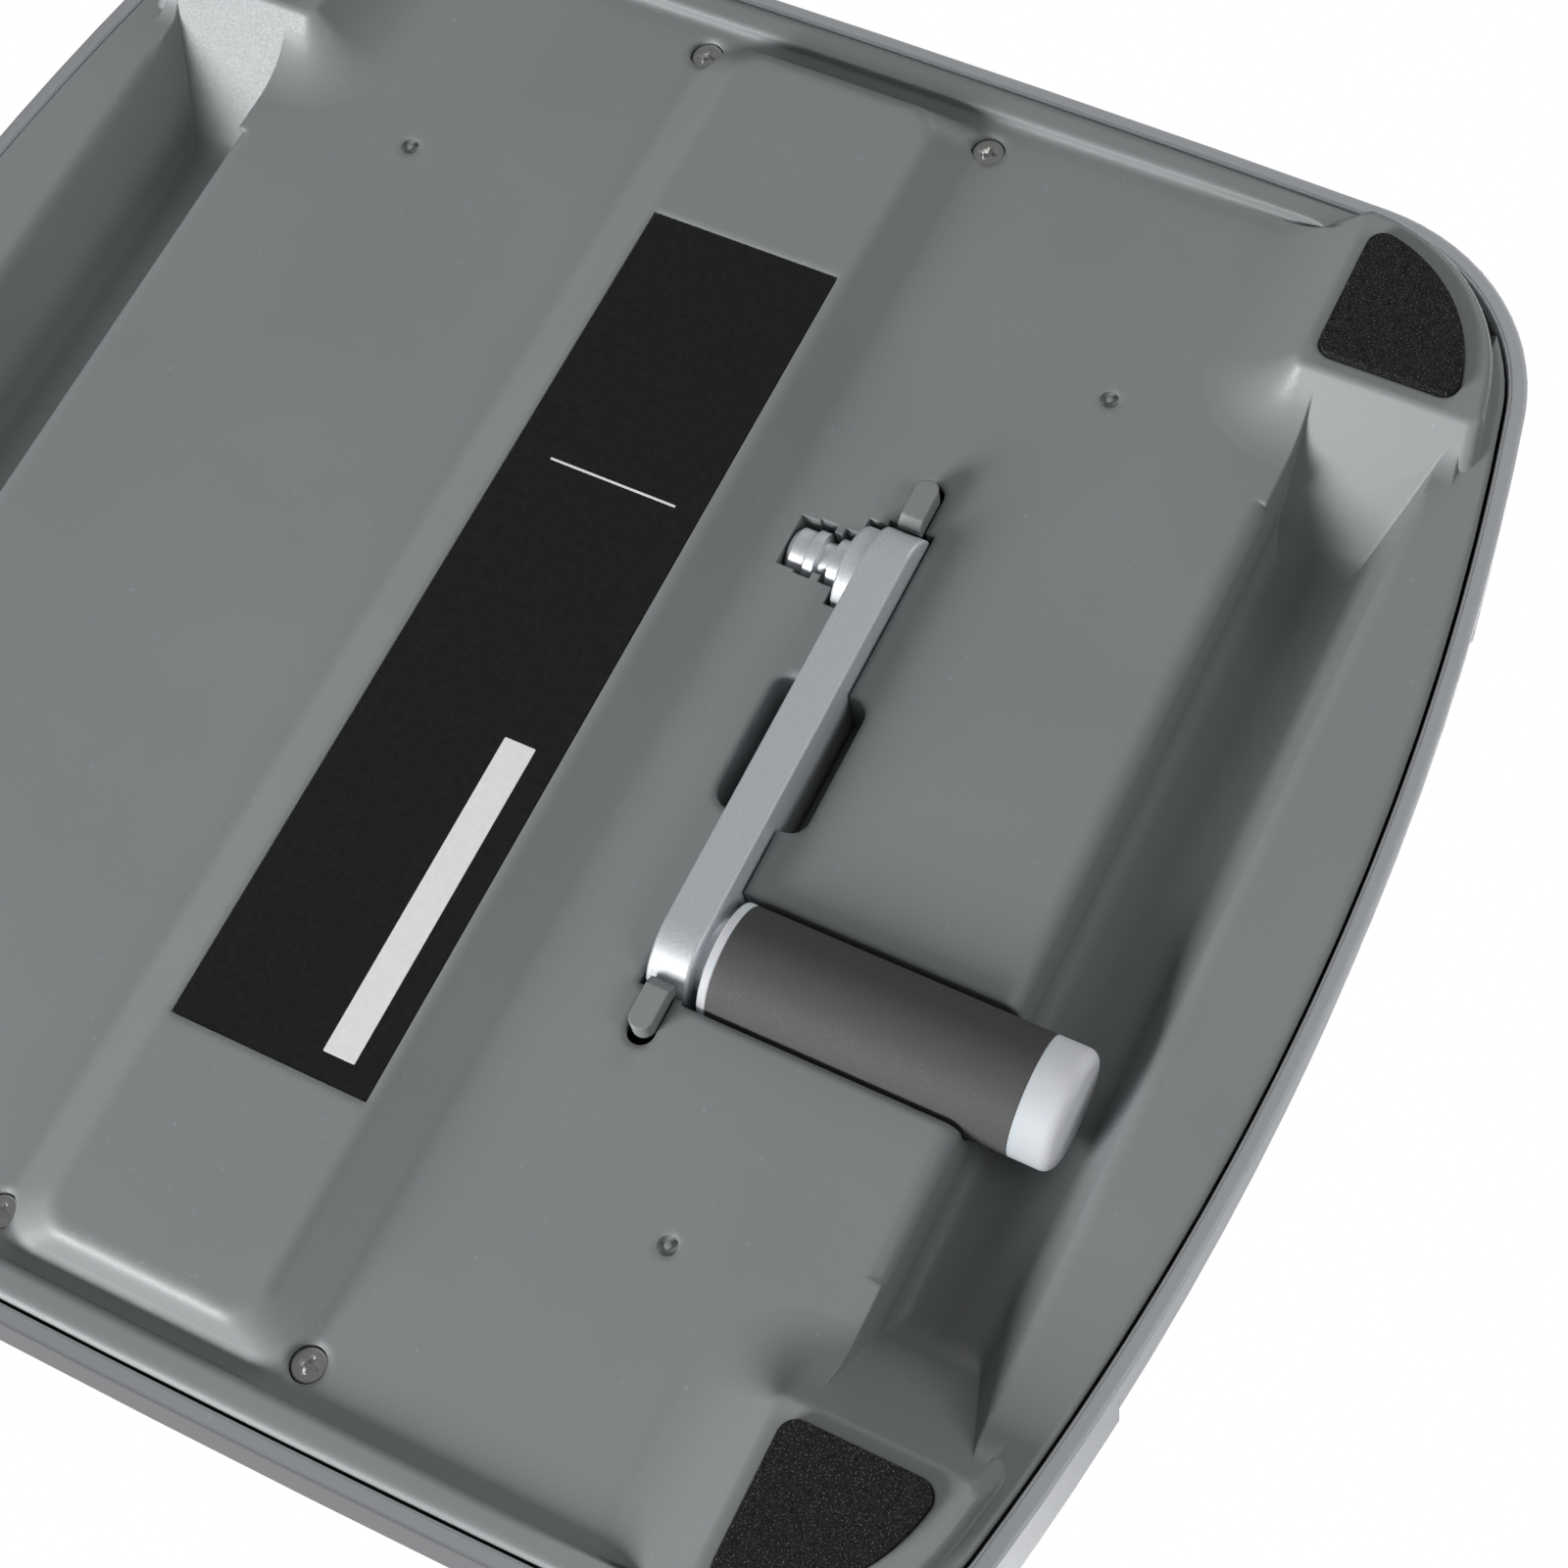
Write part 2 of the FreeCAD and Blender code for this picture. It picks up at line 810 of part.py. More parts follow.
def tower_cover(side):
    tower = tower_form(0).cut(tower_form(wall)).cut(lower_form(0, 0))
    cuts = []
    for z in (lower_roller_z, upper_roller_z):
        cuts.append(rod(shaft_radius + shaft_hole_gap, (half_tunnel, 0, z), wall, AX))
    for y, z in tie_places():
        cuts.append(rod(tie_radius + tie_hole_gap, (half_tunnel, y, z), wall, AX))
    if side > 0:
        collar_radius = socket_radius + collar_gap + collar_wall
        cuts.append(rod(collar_radius, (gear_plate_x, 0, drive_z), body_width, AX))
    tower = tower.cut(cuts).removeSplitter()
    return tower if side > 0 else mirrored(tower, AX)


# Top cover: hood over the upper roller, with a carry slot through it


def hood_profile(inset, x):
    top = body_height - inset
    ty = tower_top_y - inset
    ly = hood_lip_y - inset
    r = tower_round
    lean = (ly - ty) / (top - hood_lip_z)
    sy = ty + lean * r
    k = r * (1 - math.sqrt(0.5))
    return outline(
        [
            line((x, -ly, hood_lip_z), (x, -sy, top - r)),
            arc((x, -sy, top - r), (x, -ty + k, top - k), (x, -ty + r, top)),
            line((x, -ty + r, top), (x, ty - r, top)),
            arc((x, ty - r, top), (x, ty - k, top - k), (x, sy, top - r)),
            line((x, sy, top - r), (x, ly, hood_lip_z)),
            line((x, ly, hood_lip_z), (x, -ly, hood_lip_z)),
        ]
    )


def slot_form(grow):
    half = carry_slot_length / 2 + grow
    slot = box(
        -half,
        half,
        -half_depth,
        half_depth,
        carry_slot_z - carry_slot_height / 2 - grow,
        carry_slot_z + carry_slot_height / 2 + grow,
    )
    along = [e for e in slot.Edges if abs(e.Vertexes[0].Y - e.Vertexes[1].Y) > wall]
    return slot.makeFillet(carry_slot_round + grow, along)


def top_cover():
    solid = hood_profile(0, -half_tunnel).extrude(V(2 * half_tunnel, 0, 0))
    inside = hood_profile(wall, -half_tunnel).extrude(V(2 * half_tunnel, 0, 0))
    liner = slot_form(wall).common(solid)
    hood = solid.cut(inside).fuse(liner).cut(slot_form(0)).removeSplitter()
    low = carry_slot_z - carry_slot_height / 2
    high = carry_slot_z + carry_slot_height / 2
    half = carry_slot_length / 2

    def at_slot_mouth(edge):
        b = edge.BoundBox
        within = b.ZMin > low - tiny and b.ZMax < high + tiny and max(b.XMax, -b.XMin) < half + tiny
        return within and min(abs(b.YMin), abs(b.YMax)) > tower_top_y - wall and b.YLength < wall * 2

    return round_edges(hood, carry_slot_edge, at_slot_mouth)


# Frame


def plate_outline(x):
    low = frame_low_z
    face = polygon(
        [
            (x, -plate_half_width, low),
            (x, plate_half_width, low),
            (x, plate_half_width, upper_roller_z),
            (x, plate_half_width - 2 * plate_edge_round, plate_top_z),
            (x, -plate_half_width + 2 * plate_edge_round, plate_top_z),
            (x, -plate_half_width, upper_roller_z),
        ]
    )
    return face.extrude(V(plate_thickness, 0, 0))


def bush_radius():
    return shaft_radius + bush_wall


def side_plate(side):
    x = plate_x
    low = frame_low_z
    plate = round_edges(
        plate_outline(x),
        plate_edge_round,
        lambda e: abs(e.BoundBox.XLength - plate_thickness) < tiny and e.BoundBox.ZMin > low,
    )
    flanges = [
        box(
            x + plate_thickness,
            x + plate_thickness + plate_flange,
            min(sy * plate_half_width, sy * (plate_half_width - plate_flange)),
            max(sy * plate_half_width, sy * (plate_half_width - plate_flange)),
            low,
            low + plate_thickness / 2,
        )
        for sy in (-1, 1)
    ]
    plate = fused([plate] + flanges)
    cuts = []
    for z in (lower_roller_z, upper_roller_z):
        cuts.append(rod(bush_radius(), (x, 0, z), plate_thickness, AX))
    for y, z in tie_places():
        cuts.append(rod(tie_radius, (x, y, z), plate_thickness, AX))
    for px, py in frame_screw_places():
        cuts.append(rod(screw_radius + screw_gap, (px, py, low), plate_thickness, AZ))
    if side > 0:
        cuts.append(rod(drive_shaft_radius + bush_wall, (x, 0, drive_z), plate_thickness, AX))
        for y, z in spacer_places():
            cuts.append(rod(screw_radius, (x, y, z), plate_thickness, AX))
    plate = plate.cut(cuts)
    return plate if side > 0 else mirrored(plate, AX)


def frame_screw_places():
    x = plate_x + plate_thickness + plate_flange / 2
    return [(x, sy * (plate_half_width - plate_flange / 2)) for sy in (-1, 1)]


def spacer_places():
    y = gear_plate_half_width - spacer_inset
    low = frame_low_z + spacer_inset
    high = plate_top_z - spacer_inset
    return [(sy * y, z) for sy in (-1, 1) for z in (low, high)]


def gear_plate():
    x = gear_plate_x
    w = gear_plate_half_width
    t = gear_plate_thickness
    plate = box(x, x + t, -w, w, frame_low_z, plate_top_z)
    plate = round_edges(plate, plate_edge_round / 2, lambda e: abs(e.BoundBox.XLength - t) < tiny)
    cuts = [rod(bush_radius(), (x, 0, z), t, AX) for z in (lower_roller_z, upper_roller_z)]
    cuts.append(rod(drive_shaft_radius + bush_wall, (x, 0, drive_z), t, AX))
    for y, z in spacer_places():
        cuts.append(rod(screw_radius, (x, y, z), t, AX))
    return plate.cut(cuts)


def gear_plate_spacers():
    x = plate_x + plate_thickness
    length = gear_plate_x - x
    spacers = [ring(spacer_radius, screw_radius, (x, y, z), length, AX) for y, z in spacer_places()]
    return Part.makeCompound(spacers)


def gear_plate_screws():
    x = gear_plate_x + gear_plate_thickness
    length = x - plate_x
    screws = []
    for y, z in spacer_places():
        head = rod(screw_head_radius, (x, y, z), screw_head, AX)
        shank = rod(screw_radius, (x - length, y, z), length, AX)
        screws.append(head.fuse(shank))
    return Part.makeCompound(screws)


def flanged_bush(x, z, bore, length, direction):
    axis = AX * direction
    outer = bore + bush_wall
    body = rod(outer, (x, 0, z), length, axis)
    flange = rod(outer + bush_flange_radius - bush_radius(), (x, 0, z), bush_flange, axis * -1)
    hole = rod(bore + running_gap, (x - direction * 2 * bush_flange, 0, z), length + 4 * bush_flange, axis)
    return body.fuse(flange).cut(hole)


def tie_places():
    low = [(sy * tie_low_y, tie_low_z) for sy in (-1, 1)]
    return low + [(sy * tie_high_y, tie_high_z) for sy in (-1, 1)]


def tie_bars(places):
    x = plate_x + plate_thickness
    return Part.makeCompound([rod(tie_radius, (-x, y, z), 2 * x, AX) for y, z in places])


def frame_screws():
    thick = plate_thickness / 2
    screws = []
    for sx in (-1, 1):
        for x, y in frame_screw_places():
            head = rod(screw_head_radius, (sx * x, y, frame_low_z + thick), screw_head, AZ)
            shank = rod(screw_radius, (sx * x, y, frame_low_z), thick, AZ)
            screws.append(head.fuse(shank))
    return Part.makeCompound(screws)


# Gears with involute flanks


def half_tooth_angle(radius, teeth):
    alpha = math.radians(pressure_angle)
    pitch = gear_module * teeth / 2
    base = pitch * math.cos(alpha)
    half = math.pi / (2 * teeth) - backlash / (2 * pitch)
    if radius <= base:
        return half + math.tan(alpha) - alpha
    here = math.acos(base / radius)
    return half + math.tan(alpha) - alpha - math.tan(here) + here


def gear_face(teeth, turn, x, z):
    pitch = gear_module * teeth / 2
    tip = pitch + addendum * gear_module
    root = pitch - dedendum * gear_module

    def point(radius, angle):
        return (x, radius * math.cos(angle), z + radius * math.sin(angle))

    edges = []
    step = 2 * math.pi / teeth
    middle = (root + tip) / 2
    for n in range(teeth):
        centre = turn + n * step
        low = half_tooth_angle(root, teeth)
        mid = half_tooth_angle(middle, teeth)
        top = half_tooth_angle(tip, teeth)
        following = centre + step - low
        edges.append(arc(point(root, centre - low), point(middle, centre - mid), point(tip, centre - top)))
        edges.append(line(point(tip, centre - top), point(tip, centre + top)))
        edges.append(arc(point(tip, centre + top), point(middle, centre + mid), point(root, centre + low)))
        edges.append(line(point(root, centre + low), point(root, following)))
    return Part.Face(Part.Wire(edges))


def roller_gear(z, turn):
    body = gear_face(roller_teeth, turn, gear_x, z).extrude(V(gear_width, 0, 0))
    rim = gear_radius - dedendum * gear_module - gear_rim
    hub = shaft_radius + gear_hub
    dish = (gear_width - gear_web) / 2
    cuts = [
        ring(rim, hub, (gear_x, 0, z), dish, AX),
        ring(rim, hub, (gear_x + gear_width - dish, 0, z), dish, AX),
        rod(shaft_radius, (gear_x, 0, z), gear_width, AX),
    ]
    return body.cut(cuts)


def drive_pinion():
    turn = -math.pi / 2 + math.pi / pinion_teeth
    body = gear_face(pinion_teeth, turn, gear_x, drive_z).extrude(V(gear_width, 0, 0))
    return body.cut(rod(drive_shaft_radius, (gear_x, 0, drive_z), gear_width, AX))


# Rollers


def roller_sleeve(z):
    half = half_tunnel - sleeve_end_gap
    tube = ring(roller_radius, roller_bore, (-half, 0, z), 2 * half, AX)
    ends = []
    for x in (-half, half - sleeve_end_disc):
        ends.append(ring(roller_bore, shaft_radius, (x, 0, z), sleeve_end_disc, AX))
    return fused([tube] + ends)


def clip_x():
    return -plate_x - plate_thickness - bush_flange - clip_thickness


def roller_shaft(z):
    left = -plate_x - plate_thickness - bush_flange - shaft_overhang
    right = gear_plate_x + gear_plate_thickness
    shaft = rod(shaft_radius, (left, 0, z), right - left, AX)
    shaft = round_edges(shaft, shaft_edge, lambda e: e.BoundBox.XLength < tiny)
    start = clip_x() - clip_gap
    groove_width = clip_thickness + 2 * clip_gap
    return shaft.cut(ring(shaft_radius, shaft_radius - clip_groove, (start, 0, z), groove_width, AX))


def retaining_clip(z):
    x = clip_x()
    half = clip_mouth / 2
    clip = ring(clip_radius, shaft_radius - clip_groove, (x, 0, z), clip_thickness, AX)
    return clip.cut(box(x, x + clip_thickness, -half, half, z - 2 * clip_radius, z - half))


# Drive shaft, socket and collar


def collar_face_x():
    lean = (tower_base_x - tower_top_x) / (body_height - apron_z)
    return tower_base_x - lean * (drive_z - socket_radius - collar_wall - apron_z) + collar_proud


def drive_shaft():
    start = plate_x - plate_gap / 2
    return rod(drive_shaft_radius, (start, 0, drive_z), socket_start() - start, AX)


def socket_start():
    return gear_plate_x + gear_plate_thickness + socket_end_gap


def socket_mouth():
    return collar_face_x() - socket_recess


def socket_step():
    return socket_mouth() - (stub_ring_end - stub_start) - socket_end_gap


def socket_bottom():
    return socket_step() - stub_pilot - socket_end_gap


def drive_socket():
    start = socket_start()
    end = socket_mouth()
    body = rod(socket_radius, (start, 0, drive_z), end - start, AX)
    body = round_edges(body, socket_edge, lambda e: abs(e.BoundBox.XMin - end) < tiny)
    step = socket_step()
    bottom = socket_bottom()
    bore = rod(stub_radius + socket_bore_gap, (step, 0, drive_z), end - step, AX)
    pilot = rod(stub_pilot_radius + socket_bore_gap, (bottom, 0, drive_z), end - bottom, AX)
    pin = rod(socket_pin_radius, (pin_x(), -socket_radius, drive_z), 2 * socket_radius, AY)
    return body.cut([bore, pilot, pin])


def pin_x():
    return socket_bottom() + socket_pin_radius


def socket_pin():
    half = socket_radius - socket_edge / 2
    return rod(socket_pin_radius, (pin_x(), -half, drive_z), 2 * half, AY)


def drive_collar():
    inner = socket_radius + collar_gap
    outer = inner + collar_wall
    end = collar_face_x()
    collar = ring(outer, inner, (end - collar_length, 0, drive_z), collar_length, AX)
    return round_edges(collar, collar_edge, lambda e: e.BoundBox.XMin > end - tiny)


# Crank


def crank_arm():
    flat = fused(
        [
            rod(arm_radius, (stub_x, arm_front, crank_z), arm_thickness, AY),
            rod(arm_radius, (grip_x, arm_front, crank_z), arm_thickness, AY),
            box(stub_x, grip_x, arm_front, arm_back, crank_z - arm_radius, crank_z + arm_radius),
        ]
    )
    flat = round_edges(flat, arm_edge, lambda e: e.BoundBox.YLength < tiny)
    hub = rod(hub_radius, (stub_x, arm_back, crank_z), hub_height, AY)
    hub = round_edges(hub, arm_edge, lambda e: abs(e.BoundBox.YMin - arm_back - hub_height) < tiny)
    shoulder = rod(shoulder_radius, (grip_x, arm_front, crank_z), shoulder_height, AY * -1)
    arm = fused([flat, hub, shoulder])
    stub_hole = rod(stub_neck_radius, (stub_x, stub_start - stub_root, crank_z), stub_root, AY)
    pin_hole = rod(
        spindle_radius, (grip_x, spindle_start(), crank_z), arm_thickness + shoulder_height, AY * -1
    )
    return arm.cut([stub_hole, pin_hole])


def drive_stub():
    neck = stub_start + stub_shoulder
    ring_start = neck + stub_neck
    step = stub_ring_end
    nose = stub_bevel * 2
    profile = [
        (0.0, stub_start - stub_root),
        (stub_neck_radius, stub_start - stub_root),
        (stub_neck_radius, stub_start),
        (stub_radius, stub_start),
        (stub_radius, neck),
        (stub_neck_radius, neck + stub_bevel),
        (stub_neck_radius, ring_start - stub_bevel),
        (stub_radius, ring_start),
        (stub_radius, step - stub_bevel),
        (stub_pilot_radius, step),
        (stub_pilot_radius, stub_end - nose),
        (stub_pilot_radius - nose, stub_end),
        (0.0, stub_end),
    ]
    face = polygon([(stub_x + r, y, crank_z) for r, y in profile])
    stub = face.revolve(V(stub_x, 0, crank_z), AY, 360)
    half = stub_slot / 2
    slot_y = stub_end - 2 * socket_pin_radius - socket_end_gap
    slot = box(stub_x - stub_radius, stub_x + stub_radius, slot_y, stub_end, crank_z - half, crank_z + half)
    return stub.cut(slot)


def spindle_start():
    return arm_back - spindle_root


def spindle_end():
    return sleeve_end() - spindle_gap


def grip_spindle():
    length = spindle_start() - spindle_end()
    shank = rod(spindle_radius, (grip_x, spindle_start(), crank_z), length, AY * -1)
    head = rod(spindle_head_radius, (grip_x, spindle_end(), crank_z), spindle_head, AY * -1)
    return shank.fuse(head)


def grip_start():
    return arm_front - shoulder_height - grip_end_gap


def sleeve_start():
    return grip_start() - collar_width


def sleeve_end():
    return sleeve_start() - sleeve_length


def grip_end():
    return sleeve_end() - cap_length


def grip_core():
    flange = rod(grip_radius, (grip_x, grip_start(), crank_z), collar_width, AY * -1)
    flange = round_edges(flange, collar_round, lambda e: e.BoundBox.YLength < tiny)
    tube = rod(core_radius, (grip_x, sleeve_start(), crank_z), sleeve_length, AY * -1)
    length = sleeve_length + collar_width
    hole = rod(spindle_radius + running_gap, (grip_x, grip_start(), crank_z), length, AY * -1)
    return flange.fuse(tube).cut(hole)


def grip_sleeve():
    return ring(grip_radius, core_radius, (grip_x, sleeve_start(), crank_z), sleeve_length, AY * -1)


def grip_cap():
    body = rod(grip_radius, (grip_x, sleeve_end(), crank_z), cap_length, AY * -1)
    body = round_edges(body, cap_round, lambda e: abs(e.BoundBox.YMax - grip_end()) < tiny)
    pocket_depth = spindle_head + 2 * spindle_gap
    pocket = rod(spindle_head_radius + spindle_gap, (grip_x, sleeve_end(), crank_z), pocket_depth, AY * -1)
    return body.cut(pocket)


# Storage latches


def storage_latch(side):
    half = latch_width / 2
    low = floor_z - latch_proud
    high = low + latch_head
    bar = box(latch_tip, latch_end - half, arm_y - half, arm_y + half, low, high)
    head = fused([bar, rod(half, (latch_end - half, arm_y, low), latch_head, AZ)])
    nose = polygon(
        [
            (latch_tip, arm_y - half, low),
            (latch_tip + latch_nose_length, arm_y - half, low),
            (latch_tip, arm_y - half, low + latch_nose_height),
        ]
    ).extrude(V(0, latch_width, 0))
    arm_room = rod(arm_radius + latch_arm_gap, (grip_x, arm_y - half, crank_z), latch_width, AY)
    x = latch_pivot_x
    stem_half = latch_stem / 2
    stem = box(x - stem_half, x + stem_half, arm_y - half, arm_y + half, high - stem_half, latch_pivot_z)
    root = rod(latch_root_radius, (x, arm_y - half, latch_pivot_z), latch_width, AY)
    hole = rod(latch_pin_radius + running_gap, (x, arm_y - half, latch_pivot_z), latch_width, AY)
    latch = fused([head.cut([nose, arm_room]), stem, root]).cut(hole)
    return latch if side > 0 else mirrored(latch, AX)


def latch_pin(side):
    half = latch_width / 2 + latch_side_gap + latch_cheek
    return rod(latch_pin_radius, (side * latch_pivot_x, arm_y - half, latch_pivot_z), 2 * half, AY)


def pan_screws():
    screws = []
    for x, y in screw_places():
        seat = floor_z + screw_recess
        head = rod(screw_head_radius, (x, y, seat), screw_head, AZ)
        shank = rod(screw_radius, (x, y, seat + screw_head), screw_length, AZ)
        screws.append(head.fuse(shank))
    return Part.makeCompound(screws)


# Write every piece

os.makedirs("parts", exist_ok=True)

save("base_pan", base_pan())
save("label_plate", label_plate())
pad_names = ["rear_right_pad", "rear_left_pad", "front_right_pad", "front_left_pad"]
for name, pad in zip(pad_names, four_corners(pad_form(0, foot_face_z + pad_depth))):
    save(name, pad)
save("lower_shell", lower_shell())
save("top_cover", top_cover())
for side, word in ((-1, "left"), (1, "right")):
    save(word + "_tower_cover", tower_cover(side))
    save(word + "_side_plate", side_plate(side))
    save(word + "_storage_latch", storage_latch(side))
    save(word + "_latch_pin", latch_pin(side))
save("gear_plate", gear_plate())
save("gear_plate_spacers", gear_plate_spacers())
save("gear_plate_screws", gear_plate_screws())
save("lower_tie_bars", tie_bars(tie_places()[:2]))
save("upper_tie_bars", tie_bars(tie_places()[2:]))
save("frame_screws", frame_screws())
save("pan_screws", pan_screws())

plate_out = plate_x + plate_thickness
roller_turns = {"lower": math.pi / 2 + math.pi / roller_teeth, "upper": math.pi / 2}
for word, z in (("lower", lower_roller_z), ("upper", upper_roller_z)):
    save(word + "_roller_sleeve", roller_sleeve(z))
    save(word + "_roller_shaft", roller_shaft(z))
    save(word + "_roller_gear", roller_gear(z, roller_turns[word]))
    save(word + "_roller_clip", retaining_clip(z))
    save(word + "_left_bush", flanged_bush(-plate_out, z, shaft_radius, plate_thickness, 1))
    save(word + "_right_bush", flanged_bush(plate_out, z, shaft_radius, plate_thickness, -1))
    save(word + "_gear_bush", flanged_bush(gear_plate_x, z, shaft_radius, gear_plate_thickness, 1))
save("drive_inner_bush", flanged_bush(plate_out, drive_z, drive_shaft_radius, plate_thickness, -1))
save("drive_outer_bush", flanged_bush(gear_plate_x, drive_z, drive_shaft_radius, gear_plate_thickness, 1))
save("drive_pinion", drive_pinion())
save("drive_shaft", drive_shaft())
save("drive_socket", drive_socket())
save("socket_pin", socket_pin())
save("drive_collar", drive_collar())

save("crank_arm", crank_arm())
save("drive_stub", drive_stub())
save("grip_spindle", grip_spindle())
save("grip_core", grip_core())
save("grip_sleeve", grip_sleeve())
save("grip_cap", grip_cap())
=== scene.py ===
# %% [markdown]
# This lesson dresses a hand-cranked die cutting machine that was drawn in CAD.
# The photograph shows it turned over, so we look up at a grey moulded base with the crank clipped into it.
# The solids already have the right shapes and stay where they are, so the work here is finishes, a few
# small details, light and the camera. We load the solids first and keep the size of the whole machine.

# %% Load the machine
import math

import bmesh
import bpy
from mathutils import Matrix
from mathutils import Vector


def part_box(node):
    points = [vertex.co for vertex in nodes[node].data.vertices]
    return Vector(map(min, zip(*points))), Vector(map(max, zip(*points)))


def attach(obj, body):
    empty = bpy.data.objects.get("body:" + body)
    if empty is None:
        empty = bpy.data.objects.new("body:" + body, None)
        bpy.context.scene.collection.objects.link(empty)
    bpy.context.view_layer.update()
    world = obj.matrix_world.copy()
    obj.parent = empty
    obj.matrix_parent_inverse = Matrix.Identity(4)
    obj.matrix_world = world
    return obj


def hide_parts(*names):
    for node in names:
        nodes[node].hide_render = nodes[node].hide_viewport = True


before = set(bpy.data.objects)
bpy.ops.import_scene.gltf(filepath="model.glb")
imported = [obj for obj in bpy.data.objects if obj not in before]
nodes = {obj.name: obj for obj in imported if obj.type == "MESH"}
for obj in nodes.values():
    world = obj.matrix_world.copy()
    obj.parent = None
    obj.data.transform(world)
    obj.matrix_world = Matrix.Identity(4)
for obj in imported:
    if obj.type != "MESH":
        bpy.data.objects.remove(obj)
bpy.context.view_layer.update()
MM = 0.001

# %% [markdown]
# The camera stands where the photographer stood. The machine is kept upright on its feet, so a view of
# its underside needs a camera below the table, looking up. We give the camera its three directions as the
# columns of a matrix, which is clearer than three angles when a view is rolled as much as this one.

# %% Place the camera
camera_right = Vector((-0.44671, -0.88900, 0.10068))
camera_up = Vector((-0.82781, 0.36801, -0.42344))
camera_back = Vector((0.33939, -0.27250, -0.90031))
camera_place = Vector((231.1, -249.6, -579.2)) * MM
lens_mm = 68.19
sensor_mm = 36.0
nearest = 0.01

scene = bpy.context.scene
camera_data = bpy.data.cameras.new("photo_camera")
camera_data.lens = lens_mm
camera_data.sensor_width = sensor_mm
camera_data.clip_start = nearest
camera = bpy.data.objects.new("photo_camera", camera_data)
scene.collection.objects.link(camera)
camera_turn = Matrix((camera_right, camera_up, camera_back)).transposed()
camera.matrix_world = Matrix.Translation(camera_place) @ camera_turn.to_4x4()
bpy.context.scene.camera = camera
print("camera at", [round(c, 3) for c in camera_place])

# %% [markdown]
# A plain white room lights the machine evenly. A room bright enough to look white would wash out every
# shadow, so it has two strengths: a dim one for the light that it gives, and a full one that only the
# camera sees.

# %% White room
room_strength = 0.22
seen_strength = 1.0
plain_white = (1.0, 1.0, 1.0, 1.0)

scene.view_settings.view_transform = "Standard"
world = bpy.data.worlds.new("white_room")
world.use_nodes = True
world_tree = world.node_tree
room = world_tree.nodes["Background"]
seen = world_tree.nodes.new("ShaderNodeBackground")
for background, strength in ((room, room_strength), (seen, seen_strength)):
    background.inputs["Color"].default_value = plain_white
    background.inputs["Strength"].default_value = strength
path = world_tree.nodes.new("ShaderNodeLightPath")
choose = world_tree.nodes.new("ShaderNodeMixShader")
world_tree.links.new(path.outputs["Is Camera Ray"], choose.inputs["Fac"])
world_tree.links.new(room.outputs["Background"], choose.inputs[1])
world_tree.links.new(seen.outputs["Background"], choose.inputs[2])
world_tree.links.new(choose.outputs["Shader"], world_tree.nodes["World Output"].inputs["Surface"])
scene.world = world
print("white room of strength", room_strength)

# %% [markdown]
# Two kinds of soft lamp give the machine its form: large panels below, for the view of the underside, and
# large panels above, for the views of the machine on its feet. The strongest one stands low, on the
# machine's right and behind it, so every raised form below throws a long soft shadow. It would also burn
# out the sides of the housing, so it is told further on which pieces it lights.

# %% Soft panels
middle = Vector((0.0, 0.0, 0.06))
key_place = (2.01, 1.06, -0.77)
key_size = 0.9
over_size = 1.2


def soft_panel(name, place, size, watts):
    lamp = bpy.data.lights.new(name, "AREA")
    lamp.shape = "SQUARE"
    lamp.size = size
    lamp.energy = watts
    panel = bpy.data.objects.new(name, lamp)
    scene.collection.objects.link(panel)
    panel.location = place
    panel.rotation_mode = "QUATERNION"
    panel.rotation_quaternion = (middle - Vector(place)).to_track_quat("-Z", "Y")
    return panel


under_key = soft_panel("under_key", key_place, key_size, 95.0)
fills = [
    soft_panel("under_front", (0.1, -1.40, -0.95), 0.7, 7.5),
    soft_panel("under_left", (-2.15, -0.48, -0.96), 0.9, 12.0),
    soft_panel("over_key", (0.7, -0.8, 1.7), over_size, 24.0),
    soft_panel("over_fill", (-1.3, -0.5, 1.0), over_size, 11.0),
    soft_panel("over_rim", (0.4, 1.5, 1.2), over_size, 11.0),
]
print("lit by", under_key.name, "and", len(fills), "other panels")

# %% [markdown]
# The table top is a pale sheet under the feet. The photograph looks through the place where it lies, so
# the sheet is made one-sided: its lower face lets light and sight pass, and only its upper face is a
# surface. The panels light only the middle of the sheet, so further out it glows a little, and it meets
# the white room without a dark horizon.

# %% Table finish
table_colour = (0.80, 0.80, 0.80, 1.0)
table_rough = 0.7
glow_start = 0.4
glow_end = 2.2
glow_most = 0.85

table_finish = bpy.data.materials.new("pale_table")
table_finish.use_nodes = True
table_tree = table_finish.node_tree
table_shader = table_tree.nodes["Principled BSDF"]
table_shader.inputs["Base Color"].default_value = table_colour
table_shader.inputs["Roughness"].default_value = table_rough
table_shader.inputs["Emission Color"].default_value = plain_white
away = table_tree.nodes.new("ShaderNodeVectorMath")
away.operation = "LENGTH"
table_tree.links.new(table_tree.nodes.new("ShaderNodeTexCoord").outputs["Object"], away.inputs[0])
fade = table_tree.nodes.new("ShaderNodeMapRange")
fade.interpolation_type = "SMOOTHSTEP"
fade.inputs["From Min"].default_value = glow_start
fade.inputs["From Max"].default_value = glow_end
fade.inputs["To Max"].default_value = glow_most
table_tree.links.new(away.outputs["Value"], fade.inputs["Value"])
table_tree.links.new(fade.outputs["Result"], table_shader.inputs["Emission Strength"])
clear = table_tree.nodes.new("ShaderNodeBsdfTransparent")
facing = table_tree.nodes.new("ShaderNodeNewGeometry")
one_sided = table_tree.nodes.new("ShaderNodeMixShader")
table_tree.links.new(facing.outputs["Backfacing"], one_sided.inputs["Fac"])
table_tree.links.new(table_shader.outputs["BSDF"], one_sided.inputs[1])
table_tree.links.new(clear.outputs["BSDF"], one_sided.inputs[2])
